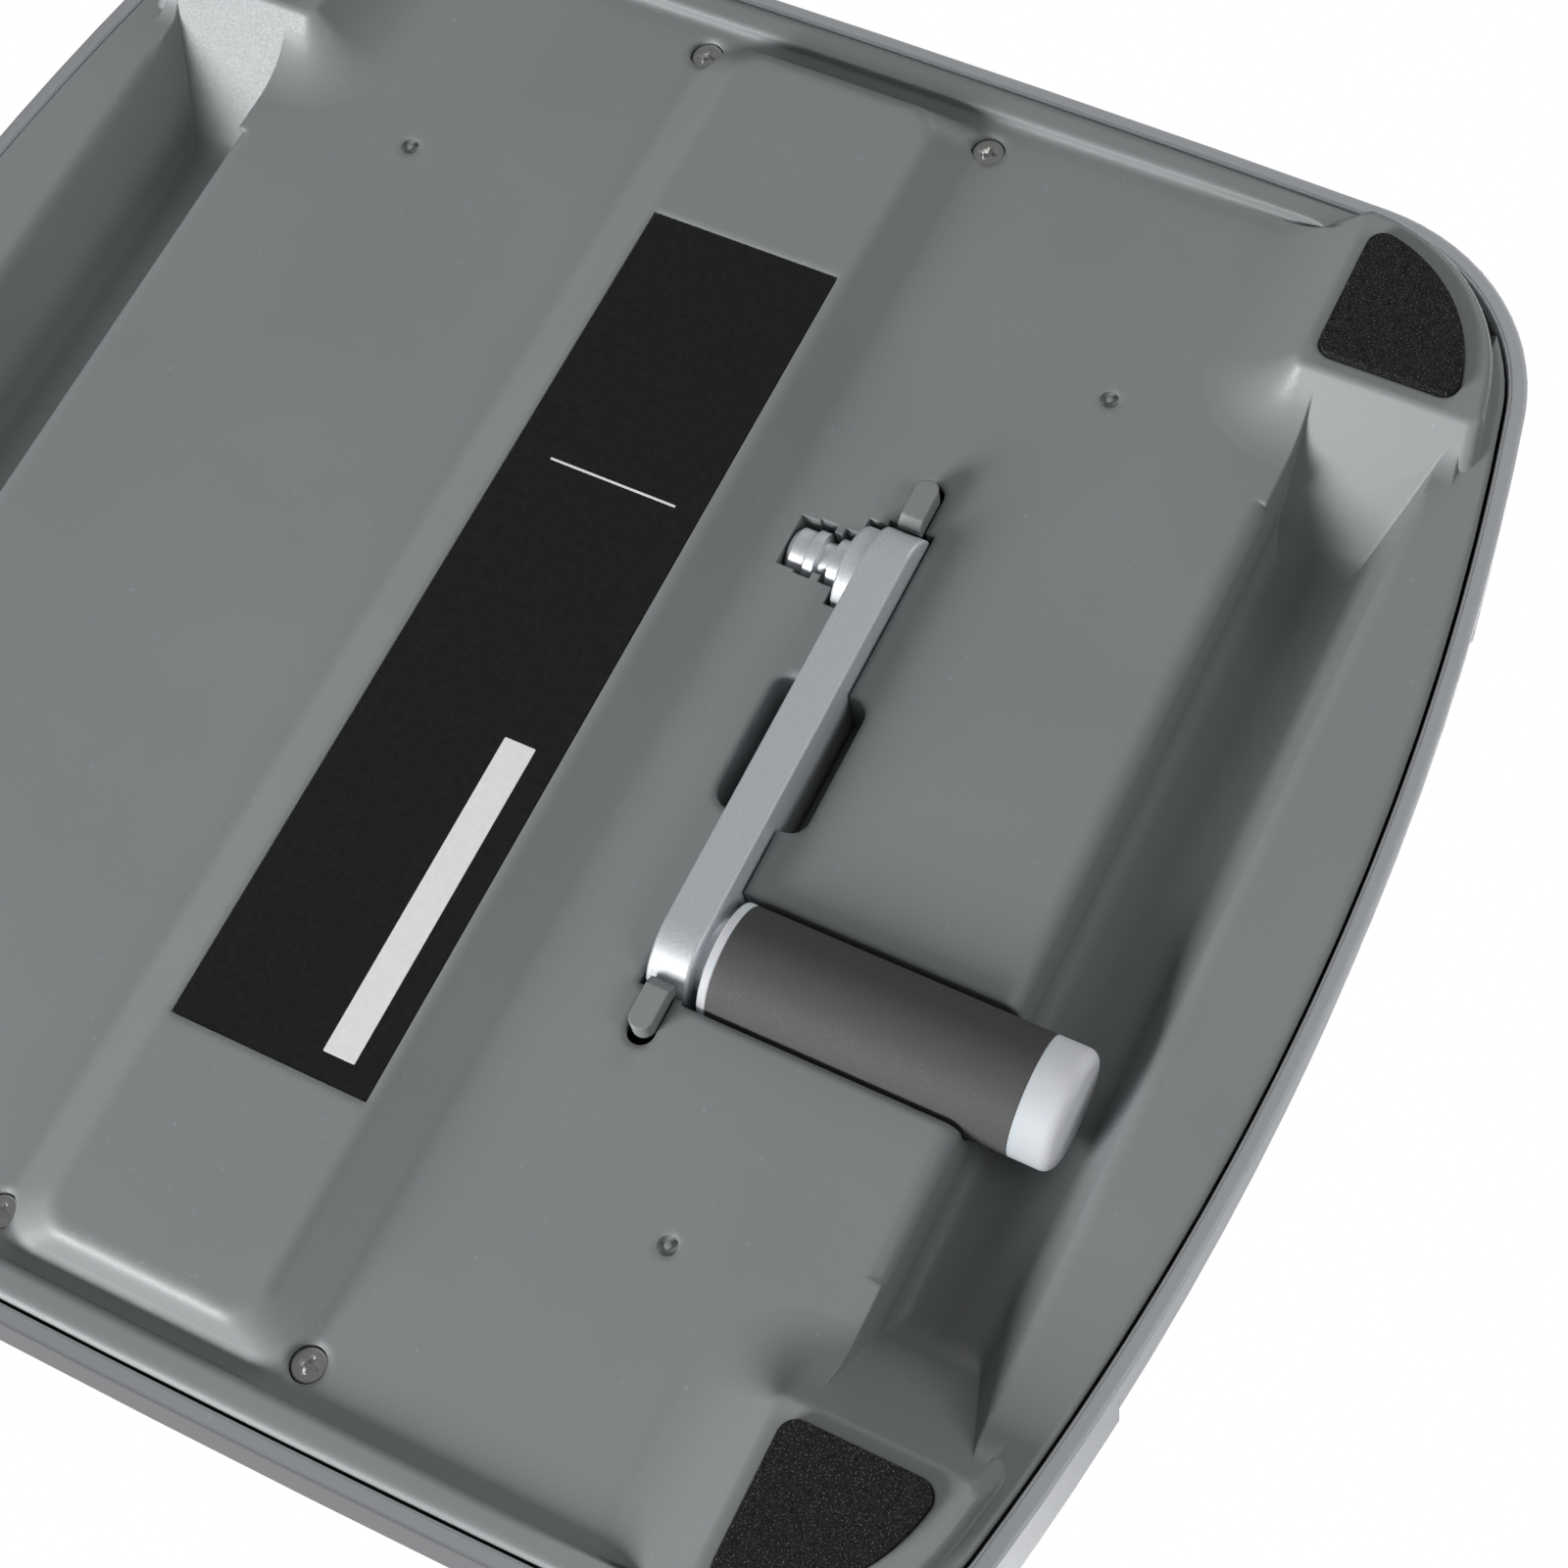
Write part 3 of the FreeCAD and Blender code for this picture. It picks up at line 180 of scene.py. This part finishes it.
table_tree.links.new(one_sided.outputs["Shader"], table_tree.nodes["Material Output"].inputs["Surface"])
print("table glows from", glow_start, "m to", glow_end, "m out")

# %% [markdown]
# The sheet itself is one large face. The underside is lit from below, so the sheet must not shade it, and
# it must not throw light back onto it either: shadows, diffuse light and reflections of it are turned off.

# %% Lay the table top
sheet_half = 6.0
sheet_corners = [(-1, -1), (1, -1), (1, 1), (-1, 1)]
sheet_points = [(x * sheet_half, y * sheet_half, 0.0) for x, y in sheet_corners]
sheet_mesh = bpy.data.meshes.new("table_top")
sheet_mesh.from_pydata(sheet_points, [], [(0, 1, 2, 3)])
sheet_mesh.materials.append(table_finish)
table_top = bpy.data.objects.new("table_top", sheet_mesh)
scene.collection.objects.link(table_top)
table_top.visible_shadow = False
table_top.visible_diffuse = False
table_top.visible_glossy = False
print("table top", 2 * sheet_half, "m across")

# %% [markdown]
# Every finish below is built from the same few moves. The first ones are a noise for grain or for slow
# changes of tone, a way to spread that noise over a range of values, and a blend of two colours. The
# noises are placed by the solid's own coordinates, in metres, so their sizes are real sizes.

# %% Helpers for grain and tone
finishes = {}


def new_finish(name, metallic, rough):
    finish = bpy.data.materials.new(name)
    finish.use_nodes = True
    shader = finish.node_tree.nodes["Principled BSDF"]
    shader.inputs["Metallic"].default_value = metallic
    shader.inputs["Roughness"].default_value = rough
    finishes[name] = finish
    return finish.node_tree, shader


def place_of(tree, stretch=(1.0, 1.0, 1.0)):
    where = tree.nodes.new("ShaderNodeTexCoord")
    scale = tree.nodes.new("ShaderNodeMapping")
    scale.inputs["Scale"].default_value = stretch
    tree.links.new(where.outputs["Object"], scale.inputs["Vector"])
    return scale.outputs["Vector"]


def grain(tree, where, size_mm, detail):
    noise = tree.nodes.new("ShaderNodeTexNoise")
    noise.inputs["Scale"].default_value = 1.0 / (size_mm * MM)
    noise.inputs["Detail"].default_value = detail
    tree.links.new(where, noise.inputs["Vector"])
    return noise.outputs["Fac"]


def spread(tree, value, low, high, start=0.3, end=0.7):
    scale = tree.nodes.new("ShaderNodeMapRange")
    scale.inputs["From Min"].default_value = start
    scale.inputs["From Max"].default_value = end
    scale.inputs["To Min"].default_value = low
    scale.inputs["To Max"].default_value = high
    tree.links.new(value, scale.inputs["Value"])
    return scale.outputs["Result"]


def blend_colours(tree, amount, first, second):
    mix = tree.nodes.new("ShaderNodeMix")
    mix.data_type = "RGBA"
    tree.links.new(amount, mix.inputs["Factor"])
    for socket, colour in (("A", first), ("B", second)):
        target = [s for s in mix.inputs if s.name == socket and s.type == "RGBA"][0]
        if isinstance(colour, tuple):
            target.default_value = colour + (1.0,)
        else:
            tree.links.new(colour, target)
    return [s for s in mix.outputs if s.type == "RGBA"][0]


print("helpers for grain and tone are ready")

# %% [markdown]
# The other moves are rounded edges, wear along them, and a bump made from the grain. Sharp CAD edges look
# wrong in a close view, because every real moulding has a small radius that catches the light. The Bevel
# node bends the shading near an edge, so the solids keep their meshes and still show soft edges. Where the
# bent normal leaves the true one, an edge is near, and that is where wear goes.

# %% Helpers for edges and relief
bevel_samples = 6
wear_full = 0.80
wear_none = 0.99


def soft_edge(tree, radius):
    edge = tree.nodes.new("ShaderNodeBevel")
    edge.samples = bevel_samples
    if isinstance(radius, float):
        edge.inputs["Radius"].default_value = radius * MM
    else:
        tree.links.new(radius, edge.inputs["Radius"])
    return edge.outputs["Normal"]


def edge_wear(tree, radius_mm):
    true_normal = tree.nodes.new("ShaderNodeNewGeometry").outputs["Normal"]
    compare = tree.nodes.new("ShaderNodeVectorMath")
    compare.operation = "DOT_PRODUCT"
    tree.links.new(soft_edge(tree, radius_mm), compare.inputs[0])
    tree.links.new(true_normal, compare.inputs[1])
    return spread(tree, compare.outputs["Value"], 1.0, 0.0, start=wear_full, end=wear_none)


def relief(tree, height, depth_mm, strength, normal):
    bump = tree.nodes.new("ShaderNodeBump")
    bump.inputs["Strength"].default_value = strength
    bump.inputs["Distance"].default_value = depth_mm * MM
    tree.links.new(height, bump.inputs["Height"])
    tree.links.new(normal, bump.inputs["Normal"])
    return bump.outputs["Normal"]


def dress(tree, shader, noise, deep, light, rough_span, depth_mm, strength, round_mm):
    tone = blend_colours(tree, spread(tree, noise, 0.0, 1.0), deep, light)
    tree.links.new(tone, shader.inputs["Base Color"])
    tree.links.new(spread(tree, noise, *rough_span), shader.inputs["Roughness"])
    normal = soft_edge(tree, round_mm)
    tree.links.new(relief(tree, noise, depth_mm, strength, normal), shader.inputs["Normal"])


print("helpers for edges and relief are ready")

# %% [markdown]
# The pan is drawn with generous radii in the mould, so its shading gets a wide bevel over the plateau, the
# channels and the border. Round the nest of the drive stub and at the feet its edges are crisp, and a wide
# bevel would smear them, so the radius is worked out from the place: it narrows near the nest and near a
# foot. The four feet lie the same way in each quarter, so taking x and y without their signs makes one
# foot of them.

# %% Rounding of the pan
stub_nest = Vector((-49.0, -54.0, 14.0)) * MM
one_foot = Vector((150.0, 150.0, 0.0)) * MM
wide_round = 3.0 * MM
nest_round = 0.4 * MM
foot_round = 0.9 * MM
nest_reach = (0.014, 0.024)
foot_reach = (0.045, 0.065)
flat = (1.0, 1.0, 0.0)


def vector_step(tree, operation, first, second=None):
    step = tree.nodes.new("ShaderNodeVectorMath")
    step.operation = operation
    tree.links.new(first, step.inputs[0])
    if second is not None:
        step.inputs[1].default_value = second
    return step.outputs["Value" if operation == "DISTANCE" else "Vector"]


def pan_rounding(tree):
    where = tree.nodes.new("ShaderNodeTexCoord").outputs["Object"]
    folded = vector_step(tree, "MULTIPLY", vector_step(tree, "ABSOLUTE", where), flat)
    from_nest = vector_step(tree, "DISTANCE", where, stub_nest)
    from_foot = vector_step(tree, "DISTANCE", folded, one_foot)
    smaller = tree.nodes.new("ShaderNodeMath")
    smaller.operation = "MINIMUM"
    tree.links.new(spread(tree, from_nest, nest_round, wide_round, *nest_reach), smaller.inputs[0])
    tree.links.new(spread(tree, from_foot, foot_round, wide_round, *foot_reach), smaller.inputs[1])
    return smaller.outputs["Value"]


print("the pan is rounded by", wide_round, "m, and at its feet by", foot_round, "m")

# %% [markdown]
# The base is injection moulded in mid grey. The mould was spark eroded, which leaves a very fine, even
# grain with a soft sheen, and the colour drifts a little where the plastic flowed. Edges that rub on a
# table go slightly paler, so the wear follows a narrow bevel, and a few specks of dust cling to the faces.
# The white grip ends let a little light into the plastic, as thick pale mouldings do.

# %% Moulded plastics
spark_mm = 0.45
drift_mm = 60.0
rub_mm = 4.0
speck_mm = 1.6
wear_mm = 0.8
wear_gain = 1.25
wear_lift = 0.01


def moulded_plastic(name, deep, light, rough, rounding):
    tree, shader = new_finish(name, 0.0, rough)
    where = place_of(tree)
    fine = grain(tree, where, spark_mm, 1.0)
    drift = grain(tree, where, drift_mm, 3.0)
    tone = blend_colours(tree, spread(tree, drift, 0.0, 1.0), deep, light)
    worn = tuple(min(1.0, c * wear_gain + wear_lift) for c in light)
    rubbed = spread(tree, grain(tree, where, rub_mm, 2.0), 0.0, 0.6)
    specks = spread(tree, grain(tree, where, speck_mm, 5.0), 0.0, 0.8, start=0.68, end=0.76)
    wear = tree.nodes.new("ShaderNodeMath")
    wear.operation = "MULTIPLY_ADD"
    tree.links.new(edge_wear(tree, wear_mm), wear.inputs[0])
    tree.links.new(rubbed, wear.inputs[1])
    tree.links.new(specks, wear.inputs[2])
    tree.links.new(blend_colours(tree, wear.outputs["Value"], tone, worn), shader.inputs["Base Color"])
    tree.links.new(spread(tree, fine, rough - 0.06, rough + 0.08), shader.inputs["Roughness"])
    normal = soft_edge(tree, rounding if isinstance(rounding, float) else rounding(tree))
    tree.links.new(relief(tree, fine, 0.03, 0.25, normal), shader.inputs["Normal"])
    return shader


grey = ((0.190, 0.203, 0.206), (0.203, 0.217, 0.220))
moulded_plastic("moulded_grey", *grey, 0.46, pan_rounding)
moulded_plastic("moulded_fittings", *grey, 0.46, 0.8)
moulded_plastic("moulded_pale", (0.54, 0.56, 0.585), (0.565, 0.585, 0.61), 0.42, 0.8)
white = moulded_plastic("moulded_white", (0.71, 0.73, 0.765), (0.73, 0.75, 0.785), 0.50, 0.4)
white.inputs["Subsurface Weight"].default_value = 0.3
white.inputs["Subsurface Scale"].default_value = 4.0 * MM
print("moulded plastics:", sorted(finishes))

# %% [markdown]
# The feet are pads of black rubber with a crumpled skin from the mould, and the grip is a soft sleeve with
# a much finer, drier skin. Both are dull, so the grain does more for them than any shine. The feet have
# picked up pale dust from the table, which is a noise cut off so high that only its peaks show.

# %% Rubbers
dust_mm = 0.4
dust_colour = (0.40, 0.40, 0.41)


def rubber(name, deep, light, rough, skin_mm, depth_mm, dust):
    tree, shader = new_finish(name, 0.0, rough)
    shader.inputs["Specular IOR Level"].default_value = 0.15
    where = place_of(tree)
    skin = grain(tree, where, skin_mm, 5.0)
    tone = blend_colours(tree, spread(tree, skin, 0.0, 1.0), deep, light)
    specks = spread(tree, grain(tree, where, dust_mm, 4.0), 0.0, dust, start=0.56, end=0.76)
    tree.links.new(blend_colours(tree, specks, tone, dust_colour), shader.inputs["Base Color"])
    tree.links.new(spread(tree, skin, rough + 0.1, rough - 0.1), shader.inputs["Roughness"])
    tree.links.new(relief(tree, skin, depth_mm, 0.7, soft_edge(tree, 0.5)), shader.inputs["Normal"])


rubber(
    "foot_rubber",
    deep=(0.004, 0.004, 0.005),
    light=(0.012, 0.012, 0.014),
    rough=0.66,
    skin_mm=2.0,
    depth_mm=0.35,
    dust=0.34,
)
rubber(
    "grip_rubber",
    deep=(0.066, 0.066, 0.067),
    light=(0.076, 0.076, 0.077),
    rough=0.62,
    skin_mm=0.5,
    depth_mm=0.03,
    dust=0.0,
)
print("rubbers added to make", len(finishes), "finishes")

# %% [markdown]
# The crank arm is a cast bar under a satin silver lacquer. The lacquer carries metal flakes far too small
# to see one by one, so a fine noise stands for them. It changes the tone, the roughness and the bump
# together, which gives the grainy sheen of such a lacquer.

# %% Satin silver
flake_mm = 0.4
silver_tree, silver_shader = new_finish("satin_silver", 0.4, 0.48)
dress(
    silver_tree,
    silver_shader,
    grain(silver_tree, place_of(silver_tree), flake_mm, 2.0),
    deep=(0.55, 0.58, 0.605),
    light=(0.68, 0.71, 0.735),
    rough_span=(0.42, 0.56),
    depth_mm=0.02,
    strength=0.25,
    round_mm=0.8,
)
print("satin silver added")

# %% [markdown]
# Turned and ground steel is scored in one direction. Squeezing the coordinates of a noise along an axis
# draws it out into streaks there, and using these for both roughness and bump makes the highlights smear
# as they do on real metal. Plated, cast and sintered pieces have no direction, so their noise is even.

# %% Bright and ground metals
round_y = (0.05, 1.0, 0.05)
round_x = (1.0, 0.04, 0.04)
along_y = (1.0, 0.05, 1.0)
even = (1.0, 1.0, 1.0)


def scored_metal(name, deep, light, rough, stretch, depth_mm, streak_mm=0.3, metallic=1.0):
    tree, shader = new_finish(name, metallic, rough)
    streaks = grain(tree, place_of(tree, stretch), streak_mm, 3.0)
    rough_span = (rough - 0.05, rough + 0.08)
    dress(tree, shader, streaks, deep, light, rough_span, depth_mm, strength=0.3, round_mm=0.3)


scored_metal("turned_bright", (0.74, 0.76, 0.79), (0.84, 0.86, 0.89), 0.44, round_y, 0.01, metallic=0.7)
scored_metal("ground_steel", (0.48, 0.49, 0.50), (0.60, 0.61, 0.62), 0.26, round_x, 0.01)
scored_metal("sheared_steel", (0.36, 0.37, 0.38), (0.46, 0.47, 0.48), 0.38, along_y, 0.02)
scored_metal("plated_steel", (0.50, 0.50, 0.49), (0.62, 0.62, 0.60), 0.30, even, 0.01)
scored_metal("oiled_iron", (0.10, 0.10, 0.10), (0.18, 0.18, 0.175), 0.40, even, 0.03, streak_mm=0.8)
scored_metal("sintered_bronze", (0.42, 0.30, 0.13), (0.55, 0.40, 0.19), 0.42, even, 0.03, streak_mm=0.5)
print("metals added to make", len(finishes), "finishes")

# %% [markdown]
# The label is a black plastic film, and it is left blank. Only a pale strip and a thin rule lie on it, and
# these are separate thin films further on. A film has a faint unevenness from its glue, which shows in the
# gloss more than in the colour.

# %% Label films
peel_mm = 1.5


def film(name, deep, light, rough):
    tree, shader = new_finish(name, 0.0, rough)
    shader.inputs["Specular IOR Level"].default_value = 0.2
    peel = grain(tree, place_of(tree), peel_mm, 2.0)
    rough_span = (rough - 0.04, rough + 0.04)
    dress(tree, shader, peel, deep, light, rough_span, depth_mm=0.01, strength=0.2, round_mm=0.2)


film("label_black_film", (0.010, 0.010, 0.011), (0.013, 0.013, 0.014), 0.34)
film("label_pale_film", (0.66, 0.67, 0.67), (0.70, 0.71, 0.71), 0.45)
print("films added to make", len(finishes), "finishes")

# %% [markdown]
# Each solid now gets its finish. The list goes by finish, so a reader can see at a glance what is
# plastic, what is rubber and what is metal. A solid that it doesn't name is a screw, pin, clip, spacer,
# spindle or tie bar, and gets plated steel.

# %% Give every solid its finish
wears = {
    "moulded_grey": ["base_pan"],
    "moulded_fittings": ["left_storage_latch", "right_storage_latch", "drive_collar"],
    "moulded_pale": ["lower_shell", "top_cover", "left_tower_cover", "right_tower_cover"],
    "moulded_white": ["grip_core", "grip_cap"],
    "foot_rubber": ["rear_right_pad", "rear_left_pad", "front_right_pad", "front_left_pad"],
    "grip_rubber": ["grip_sleeve"],
    "satin_silver": ["crank_arm"],
    "turned_bright": ["drive_stub", "drive_socket"],
    "label_black_film": ["label_plate"],
    "sheared_steel": ["left_side_plate", "right_side_plate", "gear_plate"],
    "ground_steel": [
        "lower_roller_sleeve",
        "upper_roller_sleeve",
        "lower_roller_shaft",
        "upper_roller_shaft",
        "drive_shaft",
    ],
    "oiled_iron": ["lower_roller_gear", "upper_roller_gear", "drive_pinion"],
    "sintered_bronze": [n for n in nodes if n.endswith("_bush")],
}
finish_of = {node: finish for finish, group in wears.items() for node in group}
for name, solid in nodes.items():
    solid.data.materials.clear()
    solid.data.materials.append(finishes[finish_of.get(name, "plated_steel")])
print("finished", len(nodes), "solids,", len(nodes) - len(finish_of), "of them in plated steel")

# %% [markdown]
# The pale strip and the rule on the label are thin films with rounded corners. A film is drawn as one
# rounded outline and given a little thickness, so that its edge shows as the step of a real sticker. The
# first helper turns a finished bmesh into an object, and the lip and the screws below use it too.

# %% Films on the label
label_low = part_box("label_plate")[0]
film_mm = 0.06
round_steps = 4


def add_piece(name, shape, finish):
    bmesh.ops.recalc_face_normals(shape, faces=shape.faces)
    mesh = bpy.data.meshes.new(name)
    shape.to_mesh(mesh)
    shape.free()
    mesh.materials.append(finishes[finish])
    piece = bpy.data.objects.new(name, mesh)
    scene.collection.objects.link(piece)
    return piece


def rounded_outline(x0, x1, y0, y1, corner):
    left, right = x0 + corner, x1 - corner
    front, rear = y0 + corner, y1 - corner
    outline = []
    for cx, cy, start in ((right, rear, 0), (left, rear, 90), (left, front, 180), (right, front, 270)):
        for step in range(round_steps + 1):
            angle = math.radians(start + 90.0 * step / round_steps)
            outline.append((cx + corner * math.cos(angle), cy + corner * math.sin(angle)))
    return outline


def thin_film(name, outline):
    shape = bmesh.new()
    face = shape.faces.new([shape.verts.new((x * MM, y * MM, label_low.z)) for x, y in outline])
    lower = bmesh.ops.extrude_face_region(shape, geom=[face])
    moved = [v for v in lower["geom"] if isinstance(v, bmesh.types.BMVert)]
    bmesh.ops.translate(shape, verts=moved, vec=(0.0, 0.0, -film_mm * MM))
    piece = add_piece(name, shape, "label_pale_film")
    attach(piece, "base")
    return piece


strip = thin_film("label_strip", rounded_outline(25.6, 107.0, -18.2, -10.3, 0.3))
rule = thin_film("label_rule", rounded_outline(-42.4, -41.8, -18.0, 15.0, 0.2))
print("films:", strip.name, rule.name)

# %% [markdown]
# Where the pan meets the skirt, the photograph shows only a hairline, and the drawn gap leaves room for a
# thin lip along the skirt's edge. The lip follows the plan of the machine as it was drawn in CAD, from long
# bowed sides that meet in round corners. We work out one quarter of the plan at a given inset from the
# edge, and mirror it twice.

# %% Plan of the machine
plan_half = (187.0, 199.0)
front_bow = 24.0
side_bow = 3.0
corner_round = 52.0
side_steps = 16
corner_steps = 16
front_steps = 24


def plan_corner(inset):
    hx = plan_half[0] - inset
    hy = plan_half[1] - inset
    r = corner_round - inset
    front = ((hx - side_bow) ** 2 + front_bow**2) / (2 * front_bow)
    side = ((hy - front_bow) ** 2 + side_bow**2) / (2 * side_bow)
    front_middle = Vector((0.0, hy - front))
    side_middle = Vector((hx - side, 0.0))
    between = side_middle - front_middle
    along = ((front - r) ** 2 - (side - r) ** 2 + between.length_squared) / (2 * between.length)
    across = math.sqrt((front - r) ** 2 - along**2)
    between.normalize()
    corner = front_middle + between * along + Vector((between.y, -between.x)) * across
    return (front_middle, front), (corner, r), (side_middle, side)


def plan_quarter(inset):
    (front_middle, front), (corner, r), (side_middle, side) = plan_corner(inset)
    front_end = math.atan2(*(corner - front_middle).yx)
    side_end = math.atan2(*(corner - side_middle).yx)
    arcs = [
        (side_middle, side, 0.0, side_end, side_steps),
        (corner, r, side_end, front_end, corner_steps),
        (front_middle, front, front_end, math.radians(90.0), front_steps),
    ]
    points = []
    for centre, radius, start, end, steps in arcs:
        for n in range(steps):
            angle = start + (end - start) * n / steps
            points.append((centre.x + radius * math.cos(angle), centre.y + radius * math.sin(angle)))
    return points + [(0.0, plan_half[1] - inset)]


def plan_loop(inset):
    quarter = plan_quarter(inset)
    half = quarter + [(-x, y) for x, y in quarter[-2::-1]]
    return half + [(x, -y) for x, y in half[-2:0:-1]]


print("plan with", len(plan_loop(0.0)), "points")

# %% [markdown]
# The lip's section has five corners: a thin upright bar whose inner edge is chamfered at the bottom. Each
# corner runs round the plan as a loop of points, and walls between neighbouring loops close the ring.

# %% Lip along the skirt
lip_outside = 3.3
lip_inside = 3.9
lip_chamfer = 3.7
lip_low = 12.05
lip_high = 15.5
chamfer_high = 0.3


def wall_between(shape, first, second, smooth):
    count = len(first)
    for n in range(count):
        m = (n + 1) % count
        shape.faces.new((first[n], first[m], second[m], second[n])).smooth = smooth


lip_section = [
    (lip_outside, lip_low),
    (lip_outside, lip_high),
    (lip_inside, lip_high),
    (lip_inside, lip_low + chamfer_high),
    (lip_chamfer, lip_low),
]
lip_shape = bmesh.new()
loops = []
for inset, z in lip_section:
    loops.append([lip_shape.verts.new((x * MM, y * MM, z * MM)) for x, y in plan_loop(inset)])
for first, second in zip(loops, loops[1:] + loops[:1]):
    wall_between(lip_shape, first, second, smooth=False)
skirt_lip = add_piece("skirt_lip", lip_shape, "moulded_pale")
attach(skirt_lip, "base")
print("lip with", len(skirt_lip.data.polygons), "faces")

# %% [markdown]
# The screws that hold the pan were drawn as plain discs on shanks, and a screw needs a recess for the
# driver. We draw the head's face as a ring of points round a cross, fill the face between the two, and
# sink the cross with sloping walls. More rings, larger or further in, round the rim and carry on into the
# shank. The cross is one quarter, turned four times.

# %% Shape of a screw
head_radius = 4.0
head_height = 2.6
shank_radius = 2.0
tip_radius = 1.2
tip_length = 0.8
recess_depth = 1.5
recess_taper = 0.7
ring_steps = 40
head_profile = [
    (3.5, 0.0),
    (3.85, 0.15),
    (head_radius, 0.5),
    (head_radius, head_height),
    (shank_radius, head_height),
]
cross_quarter = [(2.3, 0.55), (0.75, 0.75), (0.55, 2.3)]
cross_points = []
for quarter_turns in range(4):
    for cx, cy in cross_quarter:
        for _ in range(quarter_turns):
            cx, cy = -cy, cx
        cross_points.append((cx, cy))
ring_angles = [math.tau * n / ring_steps for n in range(ring_steps)]
ring_points = [(math.cos(angle), math.sin(angle)) for angle in ring_angles]
print("cross of", len(cross_points), "points in a ring of", len(ring_points))

# %% [markdown]
# Every screw is drawn into one mesh, at the four places where the plain ones stand. That mesh then takes
# the place of the plain screws.


# %% Cross-recessed screws
def loop_at(shape, centre, points, scale, z):
    size = scale * MM
    return [shape.verts.new((centre[0] + x * size, centre[1] + y * size, z)) for x, y in points]


def edges_of(shape, loop):
    return [shape.edges.get((v, loop[(n + 1) % len(loop)])) for n, v in enumerate(loop)]


def add_screw(shape, centre, face_z, end_z):
    rings = [loop_at(shape, centre, ring_points, r, face_z + z * MM) for r, z in head_profile]
    rings.append(loop_at(shape, centre, ring_points, shank_radius, end_z - tip_length * MM))
    rings.append(loop_at(shape, centre, ring_points, tip_radius, end_z))
    for first, second in zip(rings, rings[1:]):
        wall_between(shape, first, second, smooth=True)
    shape.faces.new(rings[-1])
    mouth = loop_at(shape, centre, cross_points, 1.0, face_z)
    bottom = loop_at(shape, centre, cross_points, recess_taper, face_z + recess_depth * MM)
    wall_between(shape, mouth, bottom, smooth=True)
    shape.faces.new(bottom)
    face_edges = edges_of(shape, rings[0]) + edges_of(shape, mouth)
    bmesh.ops.triangle_fill(shape, use_beauty=True, edges=face_edges)


screws_low, screws_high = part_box("pan_screws")
screw_x = screws_high.x - head_radius * MM
screw_y = screws_high.y - head_radius * MM
screw_shape = bmesh.new()
for sx in (-1, 1):
    for sy in (-1, 1):
        add_screw(screw_shape, (sx * screw_x, sy * screw_y), screws_low.z, screws_high.z)
cross_screws = add_piece("cross_screws", screw_shape, "plated_steel")
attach(cross_screws, "base")
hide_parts("pan_screws")
print("screws with", len(cross_screws.data.polygons), "faces")

# %% [markdown]
# The key panel may now be told which pieces it lights: all but the housing and its lip, which are left to
# the room and to the other panels. The white ends of the grip and the bright metal of the crank would still
# burn out, and a photographer would hang a net in front of the lamp for them. Here a second, weaker panel
# in the same place does the work of the net.

# %% Flag the key panel
housing = wears["moulded_pale"]
netted = wears["moulded_white"] + ["crank_arm", "drive_stub"]
underside = bpy.data.collections.new("underside")
bright_pieces = bpy.data.collections.new("bright_pieces")
for name, solid in nodes.items():
    if name in netted:
        bright_pieces.objects.link(solid)
    elif name not in housing:
        underside.objects.link(solid)
for piece in (strip, rule, cross_screws):
    underside.objects.link(piece)
under_key.light_linking.receiver_collection = underside
netted_key = soft_panel("netted_key", key_place, key_size, 50.0)
netted_key.light_linking.receiver_collection = bright_pieces
